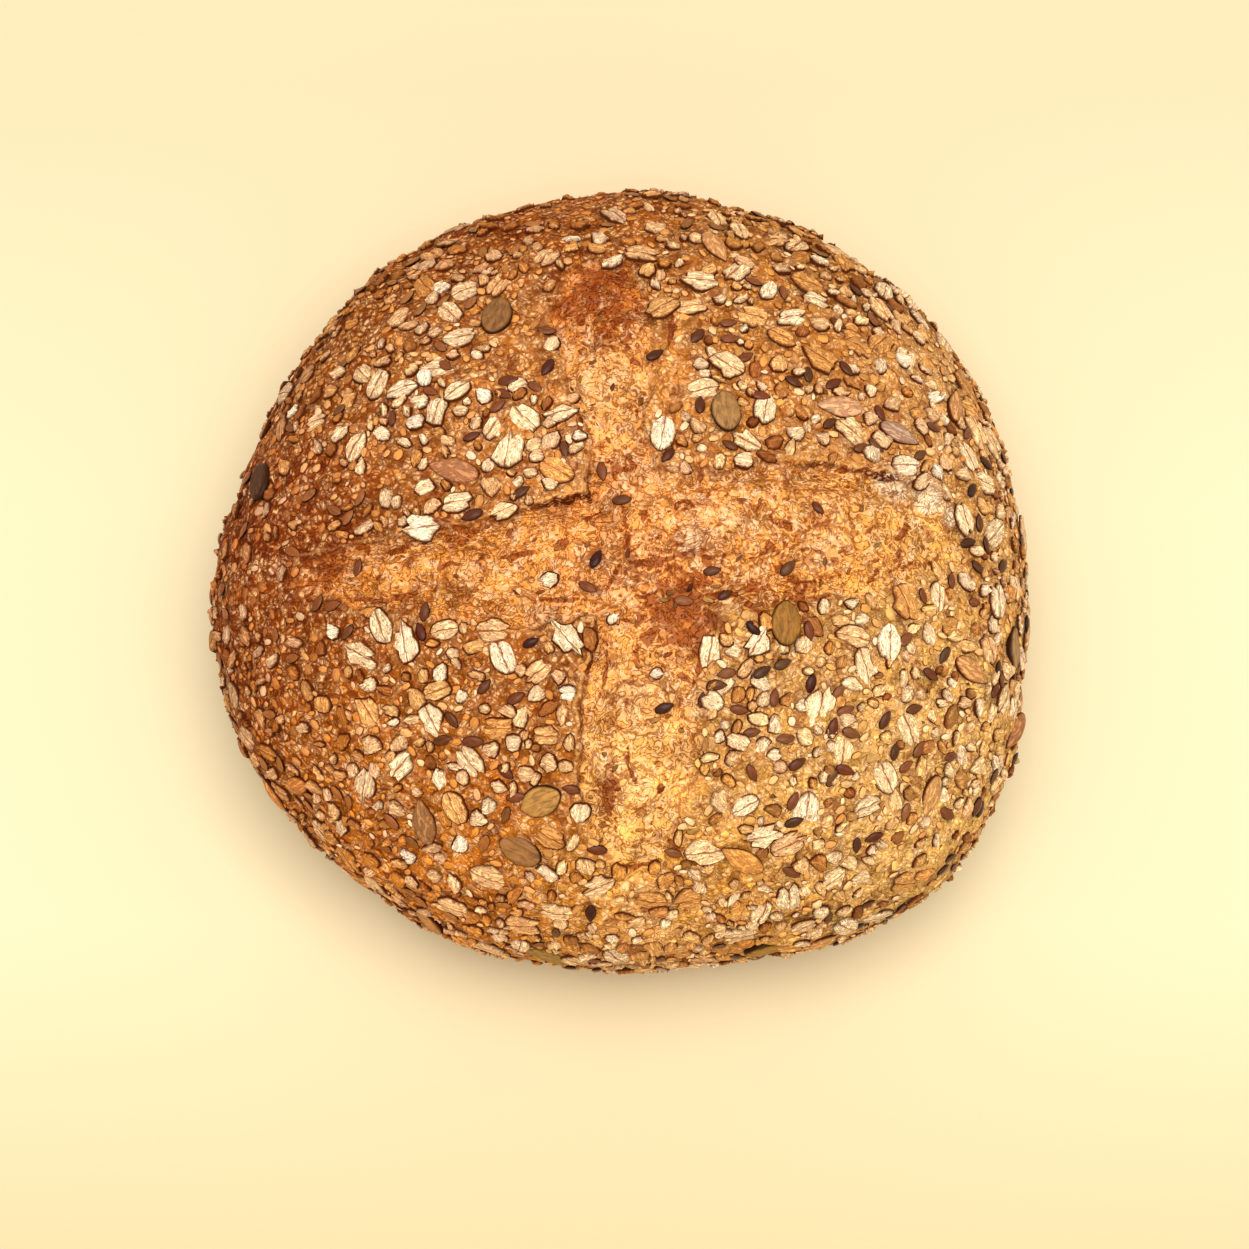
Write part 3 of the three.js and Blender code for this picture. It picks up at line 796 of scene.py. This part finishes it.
# ---------------------------------------------------------------- Broken flakes
# Pieces of oat, rye and wheat flakes that broke in the bag: angular, crumpled, from floury
# white to tan. They fill the room between the whole flakes.
CHIP_SIZE = (4.8, 3.6, 1.0)
CHIP_SEEN = (  # the floury white ones that catch the eye
    (432, 300, 0), (441, 290, 60), (337, 374, 0), (293, 412, 30), (383, 362, 0),
    (341, 433, 60), (383, 434, 0), (572, 398, -20, 0.8), (789, 315, 0), (823, 438, -35),
    (795, 433, 30), (440, 777, -80), (499, 787, 0), (488, 806, 40), (580, 813, 70, 1.2),
    (549, 579, 10, 0.95), (656, 674, 0, 0.7), (733, 760, 60, 0.8), (774, 755, 0, 0.7),
    (803, 706, 0, 0.8), (825, 606, 70, 0.8), (720, 737, 80, 0.75), (513, 743, 0),
    (547, 763, 0), (614, 618, 70, 0.7), (600, 240, 10, 1.2), (612, 262, 30, 1.1),
    (640, 255, 0), (572, 240, 20), (655, 228, 0, 1.2), (700, 240, 10, 1.1),
    (780, 270, -10, 1.1), (820, 262, -20), (745, 262, 0, 1.1), (720, 300, 40, 0.8),
    (818, 323, 0), (879, 333, 30), (902, 361, 0), (879, 366, 60), (924, 370, 0),
    (935, 398, 20), (932, 416, 0), (921, 427, -30), (891, 404, 40), (871, 391, 80, 0.8),
    (896, 326, 80), (960, 422, 60, 0.9), (963, 474, 0), (938, 472, -40), (999, 480, -60),
    (370, 685, 30), (440, 674, 60), (333, 631, 0), (373, 744, 20, 1.2), (399, 743, 60),
    (397, 809, -30), (409, 856, 0), (434, 876, 40), (459, 844, 60), (477, 819, 0),
    (492, 750, 20), (568, 693, -10), (536, 694, 30), (525, 774, 0), (536, 778, 60, 0.7),
    (462, 696, 70, 0.7), (453, 654, 0, 0.7), (425, 713, 40, 0.7), (303, 728, 0, 0.8),
    (421, 329, 60, 0.9), (452, 355, 0, 0.7), (426, 377, 80, 1.1), (420, 402, 0),
    (415, 422, 10), (460, 411, 0, 0.8), (475, 424, 60, 0.7), (536, 455, 0, 0.8),
    (551, 421, 20, 0.9), (579, 436, 0, 0.7), (530, 472, 0, 0.6), (550, 484, -40, 0.9),
    (425, 489, 20, 1.2), (432, 507, 60), (485, 396, -20), (551, 347, 70), (400, 318, 45, 1.2),
)
CHIP_SEEN_TONES = ("f0d2a8", "eac698", "e2b688", "f2dab8", "daaa78")
BROKEN_COUNT = 1400
BROKEN_LENGTH = (2.0, 6.2)
BROKEN_TONES = (
    "f0ca9c", "eac08a", "e2ac6c", "d2904c", "f0d0a8", "e2aa6a", "c07a38", "eec690", "b2743c",
    "deaa74", "7c4420", "eeca9e", "94542a", "e4b284", "eecea4",
)


def broken_shape(corners, size):
    x, y, z = corners.T
    bearing = np.arctan2(y, x)
    edge = torn_edge(bearing, random.choice([0.06, 0.16]), random.integers(1, 4))
    for snap in random.uniform(0, 2 * math.pi, random.integers(2, 5)):
        facing = np.maximum(np.cos(bearing - snap), 0.2)
        edge = np.minimum(edge, random.uniform(0.55, 0.85) / facing)
    slope = random.normal(0, 0.2, 2)
    crumple = random.normal(0, 0.19, len(x)) + slope[0] * x + slope[1] * y
    return flake_body(corners, size, edge, crumple)


def broken_size():
    length = random.uniform(*BROKEN_LENGTH)
    return np.array([length, length * random.uniform(0.42, 0.85), random.uniform(0.6, 1.1)])


chip_grains = seen_grains(CHIP_SEEN, CHIP_SIZE)
broken_grains = chip_grains + scatter(BROKEN_COUNT, 16000, broken_size)
broken_tints = picked_tints(broken_grains, BROKEN_TONES, (0, 0.4))
broken_tints[: len(chip_grains)] = picked_tints(
    chip_grains, CHIP_SEEN_TONES, (0, 0.1), film_areas=()
)
broken_grain = grain_material(
    "broken_grain", streak=0.4, streak_mm=0.8, depth=0.9, rim_tone="481a02", cracks=0.8
)
joined_grain(
    "broken_flakes", flake_model(10), broken_grains, broken_shape, broken_tints, broken_grain,
    smooth=False,
)

# ---------------------------------------------------------------- Linseeds
# Whole brown linseeds: flat glossy teardrops with a hard polished skin.
LINSEED_SIZE = (4.9, 2.6, 1.25)
LINSEED_SEEN = (
    (445, 366, -40), (508, 381, 5, 1.1), (503, 394, -35), (547, 331, -10), (602, 472, -80),
    (521, 492, 30), (622, 500, 5), (421, 310, 65), (344, 364, 20), (341, 409, 50),
    (794, 382, -30), (808, 374, 85), (833, 384, 35), (730, 339, 10), (846, 369, -60),
    (838, 324, -40), (700, 405, 85), (761, 396, -5), (862, 448, 20), (876, 446, -40),
    (516, 698, 30), (452, 720, -50), (516, 797, 10), (506, 772, -40), (588, 587, -30),
    (596, 559, 65), (684, 601, -5), (358, 568, 78), (664, 708, 20), (762, 672, 30),
    (783, 664, 20), (809, 631, -80), (754, 629, -45), (838, 693, 60), (845, 711, 20),
    (833, 727, 75), (851, 733, -20), (885, 720, 60), (914, 709, 10), (919, 749, 50),
    (895, 751, 70), (797, 764, 30), (832, 778, 65), (845, 770, -20), (793, 801, 65),
    (794, 822, 20), (906, 639, 40), (717, 685, 0), (788, 568, 45), (968, 543, 15),
    (986, 546, -60), (972, 490, 40), (979, 523, 80), (978, 568, -30), (998, 668, 40),
    (818, 508, -50, 0.8), (725, 595, 30, 0.8), (712, 571, 10, 0.9), (348, 518, 50),
    (318, 603, 60), (425, 612, 80), (702, 700, 80, 0.8),
)
LINSEED_COUNT = 330
LINSEED_TONES = ("401809", "4f1f10", "300f08", "5f2a14", "431a0d", "6b361d")


def linseed_shape(corners, size):
    x, y, z = corners.T
    narrow = 1 - 0.5 * np.clip(x, 0, 1) ** 1.5
    return sized(x, y * narrow, z * narrow, size)


def linseed_size():
    return np.array(LINSEED_SIZE) * random.uniform(0.85, 1.12)


linseed_grains = seen_grains(LINSEED_SEEN, LINSEED_SIZE)
linseed_grains += scatter(LINSEED_COUNT, 6000, linseed_size)
linseed_husk = grain_material(
    "linseed_husk", streak=0.3, streak_mm=0.8, depth=0.15, rim_tone="1a0804", roughness=0.3,
    specular=0.12,
)
joined_grain(
    "linseeds", kernel_model(10, 7), linseed_grains, linseed_shape,
    picked_tints(linseed_grains, LINSEED_TONES, (0, 0.08)), linseed_husk, sink=-0.12,
)

# ---------------------------------------------------------------- Sesame and millet
# Small hulled grain, sesame and millet, ivory to tan, half sunk in the dough everywhere.
SMALL_COUNT = 1050
SMALL_TONES = (
    "e4ba84", "d8a064", "cc8a44", "eacaa0", "dcaa70", "bc783a", "e2c49c", "c48648", "b8763c",
)


def small_shape(corners, size):
    x, y, z = (corners * random.normal(1, 0.09, corners.shape)).T
    narrow = 1 - random.uniform(0, 0.5) * np.clip(x, 0, 1)
    return sized(x, y * narrow, np.sign(z) * np.abs(z) ** 0.6, size)


def small_size():
    length = random.uniform(1.5, 3.6)
    return np.array([length, length * random.uniform(0.5, 0.85), random.uniform(0.7, 1.2)])


small_grains = scatter(SMALL_COUNT, 26000, small_size)
small_grain_skin = grain_material(
    "small_grain_skin", streak=0.2, streak_mm=0.8, depth=0.3, rim_tone="6c2a04", roughness=0.5
)
joined_grain(
    "sesame_and_millet", kernel_model(8, 4), small_grains, small_shape,
    picked_tints(small_grains, SMALL_TONES, (0.0, 0.5)), small_grain_skin, sink=0.1,
)

# ---------------------------------------------------------------- Grain under dough
# Where a film of dough closed over the grain it baked as brown as the crust, and only low
# round pebbles show, close together over the whole skin outside the cut.
COVERED_COUNT = 900
COVERED_TONES = ("a06834", "8c5226", "b88650", "7c4220", "b07a48")


def covered_share(points):
    gap = distance_to_cut(points[:, 0], points[:, 1])[0]
    return smoothstep(gap, 0.0, 2.0) * smoothstep(points[:, 2], 5, 14)


def covered_size():
    across = random.uniform(1.0, 3.0)
    return np.array([across * random.uniform(1, 1.5), across, random.uniform(0.8, 1.2)])


covered_grains = scatter(COVERED_COUNT, 30000, covered_size, share=covered_share, squeeze=0.8)
dough_film = grain_material(
    "dough_film", streak=0.3, streak_mm=0.7, depth=0.5, rim_tone="6e2c06", roughness=0.5
)
joined_grain(
    "covered_grain", kernel_model(8, 4), covered_grains, small_shape,
    picked_tints(covered_grains, COVERED_TONES, (0.4, 0.9), jitter=0.17), dough_film, sink=0.24,
)

# ---------------------------------------------------------------- Bran specks
# Dark bits of bran and broken seed husk that were kneaded into the dough and show through
# its skin, most of all on the bare cut.
BRAN_SIZE = (2.6, 1.2, 0.4)
BRAN_SEEN = (
    (559, 548, 20), (468, 550, 10), (628, 553, 80), (588, 543, 60), (757, 605, 20, 1.2),
    (705, 745, 80, 1.6), (693, 831, 20, 1.4), (661, 790, 40), (781, 470, 0), (877, 545, 30),
    (612, 388, 70), (640, 402, 60, 1.3), (594, 362, 20), (660, 372, 85), (742, 500, 10),
    (742, 592, 30), (664, 600, 0), (822, 470, -20), (862, 508, 60), (930, 540, 30),
    (540, 592, 10), (474, 590, 0), (396, 560, 20), (618, 620, 80), (655, 720, 20, 1.2),
    (620, 712, 50), (640, 830, 10),
    (672, 592, 20, 1.2), (690, 588, 60), (708, 600, -20, 1.2), (676, 604, 70), (716, 586, 10),
    (604, 290, 60), (626, 310, 20, 1.3), (600, 320, 80),
)
BRAN_COUNT = 330
BRAN_TONES = ("5a2410", "7a3814", "46200e", "8a4a1c", "6a4a22", "341408", "6e2c10")


def bran_share(points):
    gap = distance_to_cut(points[:, 0], points[:, 1])[0]
    return (0.4 + 0.6 * (gap < 0)) * smoothstep(points[:, 2], 5, 14)


def bran_size():
    return np.array(BRAN_SIZE) * random.uniform(0.35, 1.0) * random.uniform(0.7, 1.2, 3)


bran_grains = seen_grains(BRAN_SEEN, BRAN_SIZE)
bran_grains += scatter(BRAN_COUNT, 3000, bran_size, share=bran_share)
bran_husk = grain_material(
    "bran_husk", streak=0.4, streak_mm=0.7, depth=0.3, rim_tone="4a1e0a", roughness=0.5
)
joined_grain(
    "bran_specks", kernel_model(8, 4), bran_grains, small_shape,
    picked_tints(bran_grains, BRAN_TONES, (0.0, 0.45)), bran_husk,
)

# ---------------------------------------------------------------- Dough round the grain
# The crust dips a little round each grain. It is darker there and along the cut's edges,
# partly browned as thin raised or hollow places do in the oven and partly painted shade
# round the grain and at the cut's sharp edges.
HALO_REACH = 0.7
HALO_EDGE = 2.4  # no halo shows beyond this
HALO_DIP = 0.25
STRAND_ENDS = (60, 74)  # x along the right arm, where the strands give way to plain skin
skin_tree = KDTree(len(crust_skin))
for index, point in enumerate(crust_skin.tolist()):
    skin_tree.insert(point, index)
skin_tree.balance()
shown = pumpkin_grains + sunflower_grains + oat_grains + broken_grains
shown = shown + linseed_grains + small_grains
grain_gap = np.full(len(crust_skin), FAR)
for middle, axes, size in shown:
    near = [index for _, index, _ in skin_tree.find_range(Vector(middle), size[0] / 2 + HALO_EDGE)]
    off = (crust_skin[near] - middle) @ axes.T
    away = np.hypot(off[:, 0] / (size[0] / 2), off[:, 1] / (size[1] / 2))
    grain_gap[near] = np.minimum(grain_gap[near], (away - 1) * size[1] / 2)

halo = np.exp(-np.clip(grain_gap, 0, FAR) / HALO_REACH)
crust_skin -= outward * (HALO_DIP * halo)[:, None]
give_places(crust, crust_skin)

tone_share = (1 - smoothstep(from_cut / (0.6 + 2 * edge_width), -1, 1)) * on_dome
tones = blended(smooth_skin, CUT_TONES) * tone_share[:, None]
tones += blended(smooth_skin, QUARTER_TONES) * (1 - tone_share)[:, None]
crease = np.clip(strength, 0, 1) ** 2 * on_dome
# Painted shade round each grain and along the cut's sharp edges, with some toasting.
toast_and_shade = 0.25 * halo + 0.3 * crease * np.exp(-(((from_cut - 0.3) / 1.2) ** 2))
ruddy = np.zeros(len(crust_skin))
for x, y, reach, amount in RUDDY_AREAS:
    away = np.hypot(plan_x - x, plan_y - y) / reach
    ruddy = np.maximum(ruddy, amount * np.exp(-0.5 * away**2))
for column, row, degrees, length, width in RUDDY_STREAKS:
    ((middle, axes, _),) = seen_grains([(column, row, degrees)], (length, width, 0), claimed=False)
    off = (crust_skin - middle) @ axes.T
    bent = off[:, 1] - 0.02 * off[:, 0] ** 2
    away = np.hypot(off[:, 0] / length, bent / width) + 0.1 * np.abs(off[:, 2])
    ruddy = np.maximum(ruddy, 1.1 * np.exp(-3 * away**2))
folds = np.exp(-((lumps(fold_space, 6, 10) / 0.09) ** 2)) * smoothstep(-from_cut, 0, 3)
ruddy = np.maximum(ruddy, 0.75 * folds * np.clip(0.5 + 1.2 * lumps(smooth_skin, 16, 11), 0, 1))
flour = smoothstep(-plan_z, -16, -2)
near_edge = np.exp(-(((from_cut + 3) / 3.5) ** 2)) * (np.abs(plan_x) > np.abs(plan_y))
stretched = bare * (0.15 + near_edge) * (1 - smoothstep(plan_x, *STRAND_ENDS))

marks = {
    "toast_and_shade": toast_and_shade, "bare": bare, "flour": flour, "ruddy": ruddy, "pale": pale,
    "crease": crease, "cut_mm": from_cut, "bubble_mm": bubble_gap, "stretched": stretched,
}
for name, values in marks.items():
    store(crust.data, name, values)
store(crust.data, "flow_mm", drawn_out(STRAND_DRAW), "FLOAT_VECTOR", "vector")
store(crust.data, "tone", np.column_stack([tones, np.ones(len(tones))]), "FLOAT_COLOR", "color")

# Baked bread crust: a thin brittle brown skin, matt with a faint sheen. Fine dark curls cover
# it where the dough stretched, with redder and paler patches and painted highlights between them.
crust_material, tree, crust_surface = new_material("baked_crust", 0.6, 0.03)
place = add_node(tree, "TexCoord", {}, "Object")
flow = add_node(tree, "Attribute", {}, "Vector", attribute_name="flow_mm")
tone = add_node(tree, "Attribute", {}, "Color", attribute_name="tone")
marked = {name: add_node(tree, "Attribute", {}, "Fac", attribute_name=name) for name in marks}

# The patterns, by size in mm: slow changes of brown over 8, pale spots of 3 where the skin is
# thin, red-brown spots of 4, curls 2.6 apart, drawn coarser than real so that they show, and
# grit of 0.9.
patches, spots, red_noise, curl_noise, grit = (
    add_node(
        tree, "TexNoise",
        {"Vector": place, "Scale": 1000 / size, "Detail": detail, "Distortion": distortion},
    )
    for size, detail, distortion in (
        (8, 4.0, 0.8), (3, 3.0, 1.5), (4, 2.0, 1.0), (2.6, 2.0, 1.7), (0.9, 2.0, 0.0),
    )
)
tone_red = add_node(tree, "SeparateColor", {"Color": tone}, "Red")
graded = {  # what a pattern turns to between two of its values
    name: add_node(
        tree, "MapRange",
        {"Value": field, "From Min": low, "From Max": high, "To Min": start, "To Max": end},
    )
    for name, field, low, high, start, end in (
        ("patch shade", patches, 0.34, 0.66, 0.7, 1.3),
        ("grit shade", grit, 0.36, 0.64, 0.84, 1.22),
        ("pale spots", spots, 0.52, 0.62, 0.0, 0.5),
        ("bubble", spots, 0.42, 0.55, 0.5, 0.85),
        ("gap", tone_red, 0.5, 0.85, 0.95, 0.5),
        ("crest", marked["bare"], 0.0, 1.0, 0.3, 0.22),
        ("red spots", red_noise, 0.58, 0.62, 0.0, 0.55),
        ("curl", patches, 0.4, 0.6, 0.065, 0.03),
        ("toast and shade", curl_noise, 0.35, 0.6, 1.15, 0.5),
        ("dust", patches, 0.4, 0.6, 0.15, 1.0),
    )
}
shade = add_node(
    tree, "Math", {0: graded["patch shade"], 1: graded["grit shade"]}, operation="MULTIPLY"
)
shaded = add_node(tree, "VectorMath", {0: tone, "Scale": shade}, operation="SCALE")

# Pale spots all over, and paler skin over the bubbles.
bubble_share = add_node(
    tree, "Math", {0: marked["pale"], 1: graded["bubble"]}, operation="MULTIPLY"
)
paled = shaded
for share, pale_tone in ((graded["pale spots"], "f0c698"), (bubble_share, "ecd6b4")):
    paled = add_node(tree, "Mix", {"Factor": share, "A": paled, "B": pale_tone}, data_type="RGBA")

# Outside the cut, grain of about 1.8 mm under the skin: each lump has its own brown, and
# painted shade darkens a thin outline round it and the gaps between some of them, less on
# pale dough.
lump_noise = add_node(
    tree, "TexNoise", {"Vector": place, "Scale": 1000 / 2.5, "Detail": 1.0}, "Color"
)
lump_place = add_node(
    tree, "VectorMath", {0: lump_noise, 1: (0.0016, 0.0016, 0.0016), 2: place},
    operation="MULTIPLY_ADD",
)
lump_edge = add_node(
    tree, "TexVoronoi", {"Vector": lump_place, "Scale": 1000 / 1.8}, feature="DISTANCE_TO_EDGE"
)
lump_tint = add_node(tree, "TexVoronoi", {"Vector": lump_place, "Scale": 1000 / 1.8}, "Color")
lump_shade = add_node(tree, "MapRange", {"Value": lump_tint, "To Min": 0.72, "To Max": 1.25})
lump_colour = add_node(tree, "VectorMath", {0: paled, "Scale": lump_shade}, operation="SCALE")
pale_lumps = add_node(
    tree, "MapRange",
    {"Value": lump_tint, "From Min": 0.68, "From Max": 0.72, "To Min": 0.0, "To Max": 0.5},
)
pale_lumped = add_node(
    tree, "Mix", {"Factor": pale_lumps, "A": lump_colour, "B": "f2c282"}, data_type="RGBA"
)
lumped = add_node(
    tree, "Mix", {"Factor": marked["bare"], "A": pale_lumped, "B": paled}, data_type="RGBA"
)
outline = add_node(
    tree, "MapRange",
    {"Value": lump_edge, "From Min": 0.05, "From Max": 0.2, "To Min": graded["gap"], "To Max": 0.0},
)
dark_gaps = add_node(
    tree, "MapRange",
    {"Value": spots, "From Min": 0.48, "From Max": 0.42, "To Min": 0.0, "To Max": graded["gap"]},
)
outline_or_gap = add_node(tree, "Math", {0: outline, 1: dark_gaps}, operation="MAXIMUM")
outside_cut = add_node(tree, "Math", {0: 1.0, 1: marked["bare"]}, operation="SUBTRACT")
outline_share = add_node(
    tree, "Math", {0: outline_or_gap, 1: outside_cut}, operation="MULTIPLY"
)

# Painted highlights on the crests between the curls, then red-brown spots, with more of them in the
# ruddy areas.
crest_share = add_node(
    tree, "MapRange",
    {"Value": curl_noise, "From Min": 0.53, "From Max": 0.64, "To Max": graded["crest"]},
)
ruddy_field = add_node(
    tree, "Math", {0: red_noise, 1: -2.2, 2: marked["ruddy"]}, operation="MULTIPLY_ADD"
)
ruddy_spots = add_node(
    tree, "MapRange",
    {"Value": ruddy_field, "From Min": -0.66, "From Max": -0.46, "To Min": 0.0, "To Max": 0.85},
)
red_share = add_node(
    tree, "Math", {0: graded["red spots"], 1: ruddy_spots}, operation="MAXIMUM"
)
reddened = lumped
for share, layer_tone in ((crest_share, "f6caa0"), (red_share, "86380a")):
    reddened = add_node(
        tree, "Mix", {"Factor": share, "A": reddened, "B": layer_tone}, data_type="RGBA"
    )

# Dark curls, longer strands drawn out along each arm of the cut where the skin cracked, and a
# ring round each bubble.
curl_side = add_node(tree, "Math", {0: curl_noise, 1: 0.5}, operation="SUBTRACT")
strand_noise = add_node(
    tree, "TexNoise", {"Vector": flow, "Scale": 1 / 2.4, "Detail": 3.0, "Distortion": 1.4}
)
strand_side = add_node(tree, "Math", {0: strand_noise, 1: 0.5}, operation="SUBTRACT")
strands = add_node(
    tree, "Math", {0: thin_line(tree, strand_side, 0.008, 0.035, 0.85), 1: marked["stretched"]},
    operation="MULTIPLY",
)
bubble_side = add_node(
    tree, "Math", {0: curl_side, 1: 2.5, 2: marked["bubble_mm"]}, operation="MULTIPLY_ADD"
)
lines = thin_line(tree, curl_side, 0.014, graded["curl"], 0.85)
# The painted shade round the lumps is drawn with the dark lines.
for more_lines in (strands, outline_share, thin_line(tree, bubble_side, 0.15, 0.5, 0.75)):
    lines = add_node(tree, "Math", {0: lines, 1: more_lines}, operation="MAXIMUM")
line_colour = add_node(
    tree, "VectorMath", {0: reddened, 1: (0.33, 0.175, 0.075)}, operation="MULTIPLY"
)
lined = add_node(
    tree, "Mix", {"Factor": lines, "A": reddened, "B": line_colour}, data_type="RGBA"
)

# Darker places round the grain and along the cut's edges, partly toasting and partly painted
# shade; a pale lip, partly painted highlight, over a dark fold of painted shadow where the
# quarters overhang the cut; and a floury underside.
fold_side = add_node(
    tree, "Math", {0: curl_side, 1: 2.0, 2: marked["cut_mm"]}, operation="MULTIPLY_ADD"
)
lip_side = add_node(tree, "Math", {0: fold_side, 1: 1.0}, operation="SUBTRACT")
floured = lined
for mark, pattern, layer_tone in (
    ("toast_and_shade", graded["toast and shade"], "5e2404"),
    # A pale line on the lip, partly painted highlight, and painted shadow in the fold under it.
    ("crease", thin_line(tree, lip_side, 0.15, 0.45, 0.45), "e8b068"),
    ("crease", thin_line(tree, fold_side, 0.1, 0.45, 1.0), "4c1802"),
    ("flour", graded["dust"], "dcbc90"),
):
    share = add_node(tree, "Math", {0: marked[mark], 1: pattern}, operation="MULTIPLY")
    floured = add_node(
        tree, "Mix", {"Factor": share, "A": floured, "B": layer_tone}, data_type="RGBA"
    )
tree.links.new(floured, crust_surface.inputs["Base Color"])

lump_height = add_node(tree, "Math", {0: lump_edge, 1: outside_cut}, operation="MULTIPLY")
raised = add_node(
    tree, "Math", {0: curl_noise, 1: 0.8, 2: lump_height}, operation="MULTIPLY_ADD"
)
line_depth = add_node(tree, "Math", {0: lines, 1: -0.3, 2: raised}, operation="MULTIPLY_ADD")
bump = add_node(tree, "Bump", {"Height": line_depth, "Strength": 0.8, "Distance": 0.7 * MM})
tree.links.new(bump, crust_surface.inputs["Normal"])
crust.data.materials.append(crust_material)
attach(crust, "root")
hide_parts("loaf")

# ---------------------------------------------------------------- The floor
# A plain cream paper sheet that the loaf lies on, matt, and a little darker towards the front
# and the back: painted shade where the light falls off.
bpy.ops.object.select_all(action="DESELECT")
bpy.ops.mesh.primitive_plane_add(size=6, location=(0, 0, 0))
floor = bpy.context.object
floor.name = "floor"
floor_material, floor_tree, floor_surface = new_material("cream_paper", 0.9, 0.05)
floor_place = add_node(floor_tree, "TexCoord", {}, "Object")
floor_y = add_node(floor_tree, "SeparateXYZ", {"Vector": floor_place}, "Y")
# Painted shade: darker towards the front and the back.
towards_front = add_node(
    floor_tree, "MapRange", {"Value": floor_y, "From Min": -80 * MM, "From Max": -170 * MM}
)
towards_back = add_node(
    floor_tree, "MapRange", {"Value": floor_y, "From Min": 30 * MM, "From Max": 150 * MM}
)
front = add_node(
    floor_tree, "Mix", {"Factor": towards_front, "A": "dac9a2", "B": "d0b68c"}, data_type="RGBA"
)
sheet = add_node(
    floor_tree, "Mix", {"Factor": towards_back, "A": front, "B": "d4bd98"}, data_type="RGBA"
)
floor_tree.links.new(sheet, floor_surface.inputs["Base Color"])
floor.data.materials.append(floor_material)

# ---------------------------------------------------------------- The light
# Bright and very soft, from a large window above the loaf and from the white room.
bpy.ops.object.light_add(type="AREA", location=(0.06, -0.08, 1.25))
window = bpy.context.object
window.name = "window"
window.data.size = 0.8
window.data.energy = 15.5
window.rotation_euler = (Vector((0, 0, 0.05)) - window.location).to_track_quat("-Z", "Y").to_euler()

room = bpy.data.worlds.new("white_room")
room.use_nodes = True
room.node_tree.nodes["Background"].inputs["Color"].default_value = (1, 0.98, 0.94, 1)
room.node_tree.nodes["Background"].inputs["Strength"].default_value = 0.9
bpy.context.scene.world = room
bpy.context.scene.view_settings.view_transform = "Standard"
